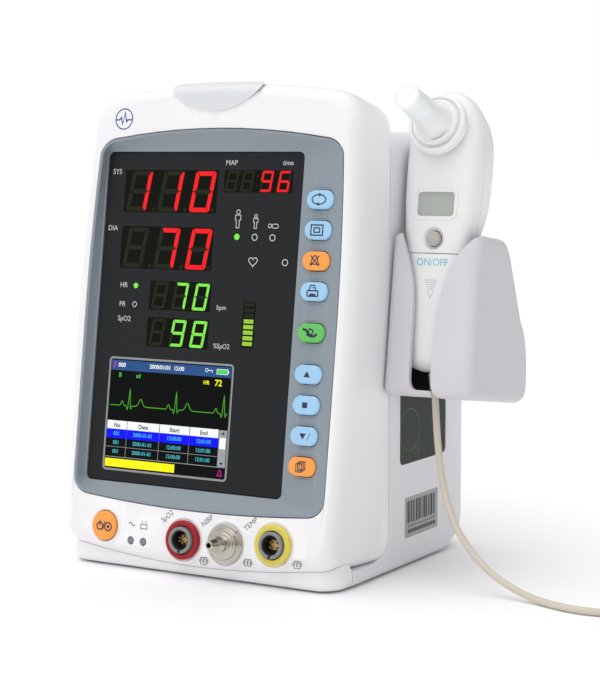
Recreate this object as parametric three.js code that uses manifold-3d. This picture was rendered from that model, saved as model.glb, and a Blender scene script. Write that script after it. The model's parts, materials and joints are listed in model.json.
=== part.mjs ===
// A bedside vital-signs monitor with a leaning display panel, and an ear thermometer
// that hangs in a holder on its right side. Millimetres, +Z up, +X to the viewer's right,
// the display faces -Y. The sub-parts are placed from the middle of the monitor's housing,
// and the whole is then shifted so that the origin is on the tabletop, below the middle of
// everything but the thermometer's free cord.

import * as THREE from "three";
import { mergeVertices } from "three/addons/utils/BufferGeometryUtils.js";
import Module from "manifold-3d";

const wasm = await Module();
wasm.setup();

// ---------------------------------------------------------------- driving dimensions

const LEAN = THREE.MathUtils.degToRad(7.87); // the panel leans back by this
const PANEL_HEIGHT = 122; // height of the display window's middle
const FRONT = -5.5; // depth of the cover's front face; the window's face is at 0
const WALL = 2.6; // moulded shells
const GAP = 0.35; // running and assembly gap between neighbours
const CUT = 1; // how far a cutting tool overshoots
const FAR = 300; // beyond every edge, for tools that cut off a whole side
const HOLE = [-8, 6]; // depths of the tools that cut holes through the front parts

const HALF_WIDTH = 77.6; // rear housing
const FLOOR = 1.5; // underside of the housing, on its feet
const HOUSING_TOP = 212;
const HOUSING_BACK = 128.4;
const PARTING = 35; // vertical plane between front cover and rear housing
const SKIRT_FRONT = -16;
const SKIRT_BACK = 1;
const SKIRT_TOP = 13;

const COVER_RIM = { bottom: 8, top: 225, corner: 13, lowerCorner: 7 };
const WINDOW = { x: -11, halfWidth: 56.1, halfHeight: 81, corner: 2.2, thickness: 2.2 };
const BEZEL = { halfWidth: 71.2, top: 91.8, bottom: 90.8, corner: 8, lip: 1.1, back: 2.4 };
const KEY = { x: 57.7, length: 14.8, height: 8.9, front: -4.9, back: 4.4, flange: 1 };
const KEY_HEIGHTS = {
  cycle_key: 58.6,
  mode_key: 44.4,
  alarm_mute_key: 30.2,
  print_key: 16,
  cuff_key: -3.1,
  up_key: -22.3,
  select_key: -36.5,
  down_key: -50.8,
  records_key: -64.9,
};
const POWER_KEY = { x: -49.8, v: -102.7, radius: 7.2, back: -3, front: 7.2 };
const SPO2_PORT = { x: -3.5, v: -104.9, ring: 9.4 };
const NIBP_PORT = { x: 20.3, v: -104.4, ring: 9.5, bore: 1.2, shank: 5 };
const TEMP_PORT = { x: 46.5, v: -102.1, ring: 9.6 };
const SOCKET_RADIUS = 6.35;
const SOCKET_CAVITY = 4.6;
const PIN_BLOCK = 3.4;
const LAMPS = { ac_lamp: -34.3, battery_lamp: -27 };
const LAMP = { v: -108.4, radius: 1.65 };
const LENS = { halfWidth: 27.5, x: -1.5, low: 101, sagitta: 12.5, depth: 17, proud: 0.6 };

const HANDLE = { halfWidth: 50, front: 78, low: 172, y: 112, z: 203.4 };
const MODULE = { y: 71.5, z: 82, halfDepth: 24.7, halfHeight: 30, sunk: 1.3 };
const DOOR = { x: 18, z: 102, halfWidth: 37, halfHeight: 24, sunk: 1.3 };
const INLET = { x: -35, z: 51, halfWidth: 13.2, halfHeight: 10, front: 108 };
const POST = { z: 51, radius: 3 };
const TRAY_TOP = 31;
const FOOT = { x: 58, front: 12, rear: 88, radius: 6 };

const HOLDER = { left: 78.2, right: 124.3, wall: 2.5, face: 30, back: 96, floor: -29.2, top: 47.8 };
const THERMO = { x: 98.2, face: 33.3, split: 44, shell: 1.8 };
const THERMO_WINDOW = { v: 61.5, halfWidth: 9.3, halfHeight: 5.5, front: 33.5, back: 35 };
const THERMO_KEY = { v: 45.2, radius: 3.6 };
const BATTERY_COVER = { top: 38.5, bottom: -16.5, back: 39 };
const PROBE = { v: 99.2, depth: 26.2, rise: THREE.MathUtils.degToRad(13.2), length: 30.2 };

const CORD = { radius: 1.65, sides: 8 };
const COIL = { x: 229, y: -4, radius: 18.15, width: 3, layers: 4 };

// ---------------------------------------------------------------- colours

const finish = (color, roughness, metalness = 0) => ({ color, roughness, metalness });
const WHITE = finish(0xecebee, 0.42);
const GREY = finish(0x98a2a8, 0.5);
const BLACK = finish(0x16170f, 0.12);
const DARK = finish(0x35372f, 0.5);
const BLUE = finish(0xa4cdea, 0.4);
const ORANGE = finish(0xf5a04a, 0.4);
const GREEN = finish(0x5cb85c, 0.4);
const RED = finish(0xb5262e, 0.35);
const YELLOW = finish(0xe6d24a, 0.35);
const METAL = finish(0xd7d3ca, 0.25, 1);
const SHEET = finish(0xb4b8ba, 0.4, 1);
const BOARD = finish(0x2f6b45, 0.6);
const RUBBER = finish(0x2b2b2b, 0.8);
const BEIGE = finish(0xcdc6b8, 0.55);
const CLEAR = finish(0xe6e6ea, 0.25);

// ---------------------------------------------------------------- helpers

function toSolid(geometry) {
  const plain = geometry.index ? geometry.toNonIndexed() : geometry.clone();
  const bare = new THREE.BufferGeometry();
  bare.setAttribute("position", plain.getAttribute("position"));
  const merged = mergeVertices(bare, 1e-4);
  const mesh = new wasm.Mesh({
    numProp: 3,
    vertProperties: merged.attributes.position.array,
    triVerts: new Uint32Array(merged.index.array),
  });
  return new wasm.Manifold(mesh);
}

function toGeometry(solid) {
  const made = solid.getMesh();
  const geometry = new THREE.BufferGeometry();
  geometry.setAttribute("position", new THREE.BufferAttribute(made.vertProperties, 3));
  geometry.setIndex(new THREE.BufferAttribute(made.triVerts, 1));
  geometry.computeVertexNormals();
  return geometry;
}

const solidOf = (shape) => (shape.isBufferGeometry ? toSolid(shape) : shape);
const cut = (base, ...tools) => tools.reduce((s, t) => s.subtract(solidOf(t)), solidOf(base));
const join = (base, ...more) => more.reduce((s, t) => s.add(solidOf(t)), solidOf(base));
const common = (a, b) => solidOf(a).intersect(solidOf(b));

// The frame of the leaning panel: x as the monitor's, y the depth behind the panel's face,
// z up along the panel.
const panelFrame = new THREE.Matrix4()
  .makeTranslation(0, 0, PANEL_HEIGHT)
  .multiply(new THREE.Matrix4().makeRotationX(-LEAN));
const leaned = (geometry) => geometry.applyMatrix4(panelFrame);
const onPanel = (x, depth, v) => new THREE.Vector3(x, depth, v).applyMatrix4(panelFrame);

// A flat shape drawn in X and Z, solid from depth y0 to y1.
function slab(shape, y0, y1, curveSegments = 6) {
  const options = { depth: y1 - y0, bevelEnabled: false, curveSegments };
  return new THREE.ExtrudeGeometry(shape, options).rotateX(Math.PI / 2).translate(0, y1, 0);
}

// A flat shape drawn in Y and Z, solid from x0 to x1.
const sideways = new THREE.Matrix4().makeBasis(
  new THREE.Vector3(0, 1, 0),
  new THREE.Vector3(0, 0, 1),
  new THREE.Vector3(1, 0, 0),
);
function sidePlate(shape, x0, x1, curveSegments = 6) {
  const options = { depth: x1 - x0, bevelEnabled: false, curveSegments };
  return new THREE.ExtrudeGeometry(shape, options)
    .applyMatrix4(sideways)
    .translate(x0, 0, 0);
}

// A turned piece: the profile gives [radius, height], and its height points towards -Y.
function turned(profile, segments = 20) {
  const points = profile.map(([r, h]) => new THREE.Vector2(r, h));
  return new THREE.LatheGeometry(points, segments).rotateX(Math.PI);
}

function rectangle(x, z, halfWidth, halfHeight, corner = 0) {
  const shape = new THREE.Shape();
  const [x0, x1, z0, z1] = [x - halfWidth, x + halfWidth, z - halfHeight, z + halfHeight];
  if (corner <= 0) {
    shape.moveTo(x0, z0).lineTo(x1, z0).lineTo(x1, z1).lineTo(x0, z1);
    return shape;
  }
  const quarter = Math.PI / 2;
  shape.absarc(x1 - corner, z0 + corner, corner, -quarter, 0);
  shape.absarc(x1 - corner, z1 - corner, corner, 0, quarter);
  shape.absarc(x0 + corner, z1 - corner, corner, quarter, 2 * quarter);
  shape.absarc(x0 + corner, z0 + corner, corner, 2 * quarter, 3 * quarter);
  return shape;
}

const disc = (x, z, radius) => new THREE.Shape().absarc(x, z, radius, 0, 2 * Math.PI);
const box = (x0, x1, y0, y1, z0, z1) =>
  new THREE.BoxGeometry(x1 - x0, y1 - y0, z1 - z0).translate(
    (x0 + x1) / 2,
    (y0 + y1) / 2,
    (z0 + z1) / 2,
  );

// The points of a rounded rectangle. Its edges are split up where they are to be bowed.
const BOWED = { cornerSteps: 4, edgeSteps: 6 };
const STRAIGHT = { cornerSteps: 3, edgeSteps: 1 };
function outline(size, { cornerSteps, edgeSteps } = BOWED) {
  const { halfWidth, bottom, top, cornerTop, cornerBottom = cornerTop } = size;
  const corners = [
    [halfWidth, bottom, -1, 1, cornerBottom, -0.5],
    [halfWidth, top, -1, -1, cornerTop, 0],
    [-halfWidth, top, 1, -1, cornerTop, 0.5],
    [-halfWidth, bottom, 1, 1, cornerBottom, 1],
  ];
  const arcs = corners.map(([x, z, sx, sz, r, start]) =>
    Array.from({ length: cornerSteps + 1 }, (_, i) => {
      const angle = (start + (0.5 * i) / cornerSteps) * Math.PI;
      return new THREE.Vector2(
        x + sx * r + r * Math.cos(angle),
        z + sz * r + r * Math.sin(angle),
      );
    }),
  );
  return arcs.flatMap((arc, i) => {
    const from = arc.at(-1);
    const to = arcs[(i + 1) % arcs.length][0];
    const edge = Array.from({ length: edgeSteps - 1 }, (_, k) =>
      from.clone().lerp(to, (k + 1) / edgeSteps),
    );
    return [...arc, ...edge];
  });
}

// Bows a rounded rectangle into a barrel: its sides pull in by `narrow` towards the top and
// bottom, and its top and bottom edges drop by `drop` towards the corners.
function barrel({ narrowTop, narrowBottom, dropTop, dropBottom, ...size }) {
  return outline(size).map(({ x, y }) => {
    const reach = y > 0 ? y / size.top : y / size.bottom;
    const share = x / size.halfWidth;
    const narrow = y > 0 ? narrowTop : narrowBottom;
    const drop = y > 0 ? dropTop : -dropBottom;
    return new THREE.Vector2(
      x - share * narrow * reach * reach,
      y - reach * reach * drop * share * share,
    );
  });
}

// A solid through rings with equal numbers of points, with flat ends.
function loft(rings) {
  const count = rings[0].length;
  const positions = rings.flat().flatMap((p) => [p.x, p.y, p.z]);
  const triangles = [];
  for (let k = 0; k + 1 < rings.length; k++) {
    for (let i = 0; i < count; i++) {
      const a = k * count + i;
      const b = k * count + ((i + 1) % count);
      triangles.push(a, b, b + count, a, b + count, a + count);
    }
  }
  const capOf = (ring) => THREE.ShapeUtils.triangulateShape(flatten(ring), []);
  for (const [a, b, c] of capOf(rings[0])) triangles.push(a, c, b);
  const last = (rings.length - 1) * count;
  for (const [a, b, c] of capOf(rings.at(-1))) triangles.push(last + a, last + b, last + c);
  const geometry = new THREE.BufferGeometry();
  geometry.setAttribute("position", new THREE.Float32BufferAttribute(positions, 3));
  geometry.setIndex(triangles);
  return outwards(geometry);
}

// A ring's points on the plane through it, dropping the axis along which it is thinnest.
function flatten(ring) {
  const size = new THREE.Box3().setFromPoints(ring).getSize(new THREE.Vector3());
  const thinY = size.y <= Math.min(size.x, size.z);
  return ring.map((p) => (thinY ? new THREE.Vector2(p.x, p.z) : new THREE.Vector2(p.x, p.y)));
}

// Stands a flat outline up at a depth.
const ringAt = (points, depth) => points.map((p) => new THREE.Vector3(p.x, depth, p.y));

// Turns the faces round if they point inwards.
function outwards(geometry) {
  const p = geometry.getAttribute("position");
  const index = geometry.index.array;
  const [a, b, c] = [new THREE.Vector3(), new THREE.Vector3(), new THREE.Vector3()];
  let volume = 0;
  for (let i = 0; i < index.length; i += 3) {
    a.fromBufferAttribute(p, index[i]);
    b.fromBufferAttribute(p, index[i + 1]);
    c.fromBufferAttribute(p, index[i + 2]);
    volume += a.dot(b.cross(c));
  }
  if (volume < 0) geometry.setIndex([...index].reverse());
  return geometry;
}

// A straight-sided tube along a curve.
function tube(points, radius, sides, steps) {
  const section = new THREE.Shape(
    Array.from({ length: sides }, (_, i) => {
      const angle = (2 * Math.PI * i) / sides;
      return new THREE.Vector2(radius * Math.cos(angle), radius * Math.sin(angle));
    }),
  );
  const path = new THREE.CatmullRomCurve3(points, false, "centripetal");
  return new THREE.ExtrudeGeometry(section, { steps, extrudePath: path, bevelEnabled: false });
}

// ---------------------------------------------------------------- front cover

// The cover's outer form, grown by `grow` all round: a bowed front that leans with the
// panel, and an upright rim where it meets the rear housing.
function coverForm(grow) {
  const bow = { narrowTop: 5.5, narrowBottom: 3.5, dropTop: 5.5, dropBottom: 6.5 };
  const leanedRing = (depth, halfWidth, top, bottom, corner) =>
    barrel({
      halfWidth: halfWidth + grow,
      top: top + grow,
      bottom: -bottom - grow,
      cornerTop: corner + grow,
      cornerBottom: COVER_RIM.lowerCorner + grow,
      ...bow,
    }).map((p) => onPanel(p.x, depth, p.y));
  const rim = outline({
    halfWidth: HALF_WIDTH + grow,
    bottom: COVER_RIM.bottom - grow,
    top: COVER_RIM.top + grow,
    cornerTop: COVER_RIM.corner + grow,
    cornerBottom: COVER_RIM.lowerCorner + grow,
  }).map((p) => new THREE.Vector3(p.x, PARTING + grow, p.y));
  return loft([
    leanedRing(FRONT - grow, 73.5, 107, 110.5, 11),
    leanedRing(FRONT + 0.8 - grow * 0.7, 76, 110, 114, 12),
    leanedRing(-2, 78, 112.8, 117, 13),
    leanedRing(4, 78.9, 114.4, 118.2, 14),
    rim,
  ]);
}

// The cover's hollow: the same form, a wall thickness smaller.
function coverHollow() {
  const step = WALL + 1;
  const passage = outline({
    halfWidth: HALF_WIDTH - step,
    bottom: SKIRT_TOP + 1,
    top: HOUSING_TOP - step,
    cornerTop: COVER_RIM.corner - step,
  });
  const front = common(coverForm(-WALL), box(-FAR, FAR, -FAR, PARTING - WALL, -FAR, FAR));
  return join(front, loft([ringAt(passage, PARTING - 4 * WALL), ringAt(passage, PARTING + CUT)]));
}

// What lies in front of the parting line, seen from the side; its lower rear corner is round.
function coverSide(gap) {
  const [back, low, radius] = [PARTING + gap, COVER_RIM.bottom + 0.4 - gap, 14];
  const shape = new THREE.Shape();
  shape.moveTo(-FAR, -FAR).lineTo(SKIRT_BACK, -FAR).lineTo(SKIRT_BACK, low);
  shape.lineTo(back - radius, low);
  shape.absarc(back - radius, low + radius, radius, -Math.PI / 2, 0);
  shape.lineTo(back, FAR).lineTo(-FAR, FAR);
  return sidePlate(shape, -FAR, FAR);
}

const bezelOutline = (grow) =>
  barrel({
    halfWidth: BEZEL.halfWidth + grow,
    top: BEZEL.top + grow,
    bottom: -BEZEL.bottom - grow,
    cornerTop: BEZEL.corner + grow,
    narrowTop: 3,
    narrowBottom: 0.3,
    dropTop: 6.2,
    dropBottom: 3.8,
  });

const pill = (v, grow) =>
  rectangle(
    KEY.x,
    v,
    KEY.length / 2 + grow,
    KEY.height / 2 + grow,
    KEY.height / 2 + grow - 0.01,
  );

const lensDisc = (grow) => {
  const radius = (LENS.halfWidth ** 2 + LENS.sagitta ** 2) / (2 * LENS.sagitta);
  return disc(LENS.x, LENS.low + radius, radius + grow);
};

function frontCover() {
  const openings = [
    loft(HOLE.map((depth) => ringAt(bezelOutline(GAP), depth))),
    slab(disc(POWER_KEY.x, POWER_KEY.v, POWER_KEY.radius + GAP), ...HOLE),
    ...[SPO2_PORT, TEMP_PORT].map((port) =>
      slab(disc(port.x, port.v, SOCKET_RADIUS + GAP), ...HOLE),
    ),
    slab(disc(NIBP_PORT.x, NIBP_PORT.v, NIBP_PORT.shank + GAP), ...HOLE),
    ...Object.values(LAMPS).map((x) =>
      slab(disc(x, LAMP.v, LAMP.radius + GAP), ...HOLE, 3),
    ),
    slab(lensDisc(GAP), HOLE[0], LENS.depth + GAP, 10),
  ].map(leaned);
  const shell = cut(coverForm(0), coverHollow(), ...openings);
  return common(shell, coverSide(0));
}

// The alarm light's lens caps the middle of the cover's top edge, a little proud of it.
function alarmLens() {
  const cap = common(coverForm(LENS.proud), leaned(slab(lensDisc(0), HOLE[0], LENS.depth, 10)));
  return cut(cap, coverForm(-WALL));
}

// ---------------------------------------------------------------- panel

function panelBezel() {
  const ledge = 0.5; // flat strip round the window
  const dishFloor = outline({
    halfWidth: WINDOW.halfWidth + ledge,
    bottom: -WINDOW.halfHeight - ledge,
    top: WINDOW.halfHeight + ledge,
    cornerTop: WINDOW.corner + ledge,
  }).map((p) => p.add(new THREE.Vector2(WINDOW.x, 0)));
  const dish = loft([
    ringAt(bezelOutline(-BEZEL.lip), FRONT - CUT),
    ringAt(bezelOutline(-BEZEL.lip), FRONT + 0.4),
    ringAt(dishFloor, -0.6),
  ]);
  const frame = loft([
    ringAt(bezelOutline(0), FRONT + 0.2),
    ringAt(bezelOutline(0), BEZEL.back),
  ]);
  const [halfWidth, halfHeight] = [WINDOW.halfWidth + GAP, WINDOW.halfHeight + GAP];
  const window = rectangle(WINDOW.x, 0, halfWidth, halfHeight, WINDOW.corner + GAP);
  const keyHoles = Object.values(KEY_HEIGHTS).map((v) => slab(pill(v, GAP), ...HOLE, 3));
  return cut(frame, dish, slab(window, ...HOLE, 3), ...keyHoles);
}

function displayWindow() {
  const shape = rectangle(WINDOW.x, 0, WINDOW.halfWidth, WINDOW.halfHeight, WINDOW.corner);
  return slab(shape, 0, WINDOW.thickness, 3);
}

// A key's cap stands out of the bezel, and its flange keeps it behind.
function panelKey() {
  const [halfLength, halfHeight] = [KEY.length / 2, KEY.height / 2];
  const flangeFront = BEZEL.back + 0.4;
  const capShape = rectangle(0, 0, halfLength, halfHeight, halfHeight - 0.01);
  const flangeShape = rectangle(0, 0, halfLength + KEY.flange, halfHeight + KEY.flange);
  return join(
    slab(capShape, KEY.front, flangeFront + 0.2, 3),
    slab(flangeShape, flangeFront, KEY.back),
  );
}

const powerKey = () =>
  turned([
    [0, POWER_KEY.back],
    [POWER_KEY.radius, POWER_KEY.back],
    [POWER_KEY.radius, POWER_KEY.front - 0.6],
    [POWER_KEY.radius - 0.8, POWER_KEY.front],
    [0, POWER_KEY.front],
  ]);

const lamp = () =>
  turned(
    [
      [0, -4],
      [LAMP.radius, -4],
      [LAMP.radius, 5.2],
      [0, 5.6],
    ],
    10,
  );

// A round patient-cable socket: a sleeve around a sunken pin block.
const cableSocket = () =>
  turned([
    [0, -5],
    [SOCKET_RADIUS, -5],
    [SOCKET_RADIUS, 9.2],
    [SOCKET_RADIUS - 0.4, 9.6],
    [SOCKET_CAVITY, 9.6],
    [SOCKET_CAVITY, 2],
    [PIN_BLOCK, 2],
    [PIN_BLOCK, 4.2],
    [0, 4.2],
  ]);

const portRing = (radius) =>
  turned(
    [
      [SOCKET_RADIUS + GAP, 5.8],
      [radius, 5.8],
      [radius, 7],
      [radius - 0.8, 7.9],
      [SOCKET_RADIUS + GAP, 7.9],
      [SOCKET_RADIUS + GAP, 5.8],
    ],
    24,
  );

// The cuff hose's port: a flange, a step and a barbed nipple, bored through.
const nibpPort = () =>
  turned(
    [
      [NIBP_PORT.bore, -7],
      [NIBP_PORT.shank, -7],
      [NIBP_PORT.shank, 5.8],
      [NIBP_PORT.ring, 5.8],
      [NIBP_PORT.ring, 7.2],
      [7, 7.2],
      [7, 8.8],
      [3.6, 9.4],
      [3.2, 12.4],
      [4, 13],
      [2.6, 15.6],
      [3.1, 16],
      [2, 20.4],
      [NIBP_PORT.bore, 20.4],
      [NIBP_PORT.bore, -7],
    ],
    16,
  );

// ---------------------------------------------------------------- housing and base

// The covers let into the housing's right side and back, grown by `grow`.
const moduleOutline = (grow) =>
  rectangle(MODULE.y, MODULE.z, MODULE.halfDepth + grow, MODULE.halfHeight + grow, 2.7);
const doorOutline = (grow) =>
  rectangle(DOOR.x, DOOR.z, DOOR.halfWidth + grow, DOOR.halfHeight + grow, 2.7);

function rearHousing() {
  const ring = (y, inset, rise, shrink = 0) =>
    outline(
      {
        halfWidth: HALF_WIDTH - inset - shrink,
        bottom: FLOOR + rise + shrink,
        top: HOUSING_TOP - inset - shrink,
        cornerTop: 10 - shrink,
        cornerBottom: 4 - shrink,
      },
      STRAIGHT,
    ).map((p) => new THREE.Vector3(p.x, y, p.y));
  const form = (shrink) =>
    loft([
      ring(shrink ? PARTING - CUT : PARTING + GAP, 0, 0, shrink),
      ring(98, 0, 0.2, shrink),
      ring(110, 0.6, 4, shrink),
      ring(119 - shrink / 2, 2.2, 10, shrink),
      ring(125 - shrink, 5.6, 19, shrink),
      ring(HOUSING_BACK - shrink, 11, 29, shrink),
    ]);
  const traySide = (shrink) => {
    const y0 = SKIRT_BACK + GAP - (shrink ? CUT : 0);
    const walls = ring(y0, 0, 0, shrink);
    return loft([walls, ring(PARTING + 2, 0, 0, shrink)]);
  };
  const tray = common(traySide(0), box(-FAR, FAR, -FAR, FAR, -FAR, TRAY_TOP));
  const recess = (grow) => {
    const side = HANDLE.halfWidth + grow;
    return box(-side, side, HANDLE.front - grow, FAR, HANDLE.low - grow, FAR);
  };
  const hollow = cut(join(form(WALL), traySide(WALL)), recess(WALL));
  const hole = [HOUSING_BACK - 4 * WALL, HOUSING_BACK + CUT];
  const moduleShape = moduleOutline(GAP);
  const doorShape = doorOutline(GAP);
  const [inletHalfWidth, inletHalfHeight] = [INLET.halfWidth + 0.4, INLET.halfHeight + 0.4];
  return cut(
    join(form(0), tray),
    hollow,
    coverSide(GAP),
    recess(0),
    sidePlate(moduleShape, HALF_WIDTH - MODULE.sunk - 0.3, HALF_WIDTH + CUT, 3),
    slab(rectangle(INLET.x, INLET.z, inletHalfWidth, inletHalfHeight), ...hole),
    slab(disc(0, POST.z, POST.radius + GAP), ...hole),
    slab(doorShape, HOUSING_BACK - DOOR.sunk - 0.3, HOUSING_BACK + CUT, 3),
  );
}

// The base's front part closes the bottom under the cover's lower edge.
function baseSkirt() {
  const form = (inset, low) => {
    const shape = new THREE.Shape();
    const [x, y, r] = [HALF_WIDTH - 1 - inset, SKIRT_FRONT + inset, 11 - inset];
    const back = inset ? SKIRT_BACK + CUT : SKIRT_BACK;
    shape.moveTo(-x, back).lineTo(-x, y + r);
    shape.absarc(-x + r, y + r, r, Math.PI, 1.5 * Math.PI);
    shape.absarc(x - r, y + r, r, 1.5 * Math.PI, 2 * Math.PI);
    shape.lineTo(x, back);
    const options = { depth: SKIRT_TOP - FLOOR, bevelEnabled: false, curveSegments: 5 };
    return new THREE.ExtrudeGeometry(shape, options).translate(0, 0, low);
  };
  return cut(form(0, FLOOR), form(WALL, FLOOR + WALL), coverForm(GAP));
}

function foot() {
  const height = FLOOR - 0.3;
  return new THREE.CylinderGeometry(FOOT.radius, FOOT.radius + 0.5, height, 16)
    .rotateX(Math.PI / 2)
    .translate(0, 0, height / 2);
}

// The grip across the recess in the top of the rear housing.
function carryHandle() {
  const reach = HANDLE.halfWidth - GAP;
  return sidePlate(rectangle(HANDLE.y, HANDLE.z, 9, 7.6, 5), -reach, reach, 3);
}

const moduleCover = () =>
  sidePlate(moduleOutline(0), HALF_WIDTH - MODULE.sunk, HALF_WIDTH - 0.3, 3);

function acInlet() {
  const shapeOf = (grow, corner) =>
    rectangle(INLET.x, INLET.z, INLET.halfWidth + grow, INLET.halfHeight + grow, corner);
  const flange = slab(shapeOf(2.2, 2), HOUSING_BACK + 0.3, HOUSING_BACK + 2.3, 2);
  const body = slab(shapeOf(0, 0), INLET.front, HOUSING_BACK + 1);
  const cavityFloor = INLET.front + 4;
  const cavity = slab(shapeOf(-2.4, 0), cavityFloor, FAR);
  const pins = [-7, 0, 7].map((x) =>
    slab(rectangle(INLET.x + x, INLET.z, 1, 2), cavityFloor - 1, cavityFloor + 9),
  );
  return join(cut(join(flange, body), cavity), ...pins);
}

const groundPost = () =>
  new THREE.LatheGeometry(
    [
      [0, -8],
      [POST.radius, -8],
      [POST.radius, 0.3],
      [2 * POST.radius, 0.3],
      [2 * POST.radius, 2],
      [POST.radius, 2],
      [POST.radius, 4],
      [POST.radius - 0.6, 5],
      [POST.radius, 6],
      [POST.radius, 12],
      [0, 12],
    ].map(([r, h]) => new THREE.Vector2(r, h)),
    14,
  ).translate(0, HOUSING_BACK, 0);

const batteryDoor = () =>
  slab(doorOutline(0), HOUSING_BACK - DOOR.sunk, HOUSING_BACK + 0.3, 3);

// ---------------------------------------------------------------- inside

const digitModule = (u0, u1, v0, v1) =>
  slab(rectangle((u0 + u1) / 2, (v0 + v1) / 2, (u1 - u0) / 2, (v1 - v0) / 2), 2.7, 9.2);

// An upright sheet behind the displays, with a cable opening, and a shelf behind its foot.
const CHASSIS = { halfWidth: 68, y: 50, low: 10, high: 200, back: 104, sheet: 1.5 };
function chassisFrame() {
  const { halfWidth, y, low, high, back, sheet } = CHASSIS;
  const upright = box(-halfWidth, halfWidth, y, y + sheet, low, high);
  const shelf = box(-halfWidth, halfWidth, y + 1, back, low, low + sheet);
  const opening = slab(rectangle(0, 145, 40, 35), y - CUT, y + sheet + CUT);
  return cut(join(upright, shelf), opening);
}

// A circuit board carrying blocks; each block gives x, half width, z, half height, thickness.
const MAIN_BOARD = { halfWidth: 60, low: 70, high: 165, y: 58, thickness: 1.6 };
const MAIN_BLOCKS = [
  [-26, 14, 124, 14, 3],
  [18, 12, 132, 12, 3.5],
  [-5, 25, 79, 5, 5],
];
function mainBoard() {
  const { halfWidth, low, high, y, thickness } = MAIN_BOARD;
  const face = y + thickness;
  const board = box(-halfWidth, halfWidth, y, face, low, high);
  const blocks = MAIN_BLOCKS.map(([x, halfX, z, halfZ, tall]) =>
    slab(rectangle(x, z, halfX, halfZ), face - 0.5, face + tall),
  );
  return join(board, ...blocks);
}

// A board lying on the shelf, with a transformer and a capacitor standing on it.
const SUPPLY = { x: -28, y: 78, z: 14, halfWidth: 36, halfDepth: 22, thickness: 2 };
function powerSupply() {
  const { x, y, z, halfWidth, halfDepth, thickness } = SUPPLY;
  const block = (middle, halfSide, depth, low, high) =>
    box(middle - halfSide, middle + halfSide, y - depth, y + depth, low, high);
  const board = block(x, halfWidth, halfDepth, z, z + thickness);
  const transformer = block(x - 8, 14, 14, z + 1, z + 26);
  const capacitor = new THREE.CylinderGeometry(9, 9, 26, 14)
    .rotateX(Math.PI / 2)
    .translate(x + 22, y, z + 14);
  return join(board, transformer, capacitor);
}

// The cuff's air pump lies across the housing; its inlet points forwards.
const PUMP = { x: 38, y: 78, z: 30, radius: 13, length: 48, inletX: 24 };
const pump = () =>
  join(
    new THREE.CylinderGeometry(PUMP.radius, PUMP.radius, PUMP.length, 18)
      .rotateZ(Math.PI / 2)
      .translate(PUMP.x, PUMP.y, PUMP.z),
    new THREE.CylinderGeometry(2, 2, 12, 10)
      .rotateX(Math.PI / 2)
      .translate(PUMP.inletX, PUMP.y - 12, PUMP.z),
  );

const speaker = () =>
  new THREE.LatheGeometry(
    [
      [0, 0],
      [11, 0],
      [11, 7],
      [19, 14],
      [19, 16],
      [0, 16],
    ].map(([r, h]) => new THREE.Vector2(r, h)),
    20,
  )
    .rotateZ(Math.PI / 2)
    .translate(-56, 84, 150);

// ---------------------------------------------------------------- thermometer holder

// The holder's side view: a tall front, a sloping back and a deep foot.
function holderSide(inset, mouth) {
  const [front, back] = [HOLDER.face + inset, HOLDER.back - inset];
  const [low, high] = [HOLDER.floor + inset, mouth ? 70 : HOLDER.top];
  const shape = new THREE.Shape();
  shape.moveTo(front, low).lineTo(back - 9, low);
  shape.quadraticCurveTo(back, low, back, low + 9);
  shape.quadraticCurveTo(back - 1, 2, 84 - inset, 12);
  shape.lineTo(67.5 - inset, 40);
  shape.quadraticCurveTo(62.5 - inset, 47.8 - inset, 57 - inset, 47.8 - inset);
  shape.lineTo(57 - inset, high).lineTo(front, high);
  return shape;
}

// The slot between the front lips: it flares at the top and lets the cord out below.
function holderSlot() {
  const shape = new THREE.Shape();
  shape.moveTo(82.6, 60).lineTo(82.6, 47.8);
  shape.bezierCurveTo(86.5, 38, 91.3, 27, 91.5, 14);
  shape.lineTo(92.1, -20);
  shape.quadraticCurveTo(92.3, -26, 96, -26);
  shape.lineTo(103.3, -26).lineTo(103.3, -40).lineTo(107.5, -40).lineTo(107.5, -29);
  shape.quadraticCurveTo(103.3, -28, 103.2, -18);
  shape.lineTo(103.6, 4);
  shape.bezierCurveTo(104.5, 22, 110, 36, 118, 43);
  shape.quadraticCurveTo(121, 46, 125, 47.8);
  shape.lineTo(125, 60);
  return shape;
}

function thermometerHolder() {
  const shell = cut(
    sidePlate(holderSide(0, false), HOLDER.left, HOLDER.right, 5),
    sidePlate(holderSide(HOLDER.wall, true), HOLDER.left - CUT, HOLDER.right - HOLDER.wall, 5),
  );
  const slot = slab(holderSlot(), HOLDER.face - CUT, HOLDER.face + HOLDER.wall + CUT, 5);
  const cordHole = box(94, 107.5, HOLDER.face + 3, 50, HOLDER.floor - CUT, HOLDER.floor + 4);
  return cut(shell, slot, cordHole);
}

// ---------------------------------------------------------------- thermometer

// The thermometer's cross-sections from its lower end to the top of its head:
// [height, half width, front depth, back depth, corner radius].
const THERMO_SECTIONS = [
  [-17.2, 6.5, 41.5, 50, 4],
  [-15.5, 10, 37.5, 51.5, 5],
  [-11, 12.4, 35.2, 52.6, 6],
  [10, 13.8, 34.4, 53, 6.5],
  [38, 16, 33.8, 53, 7],
  [48, 17.2, 33.5, 53.4, 7],
  [55, 18, THERMO.face, 57, 8],
  [66, 18.7, THERMO.face, 59, 8],
  [88, 18.7, THERMO.face, 60, 9],
  [99, 17.2, 34, 58.5, 10],
  [107, 13.6, 36, 55, 10],
  [112.5, 9, 38.5, 51, 6],
  [115.2, 4, 41.5, 47.5, 2.9],
];

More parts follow.
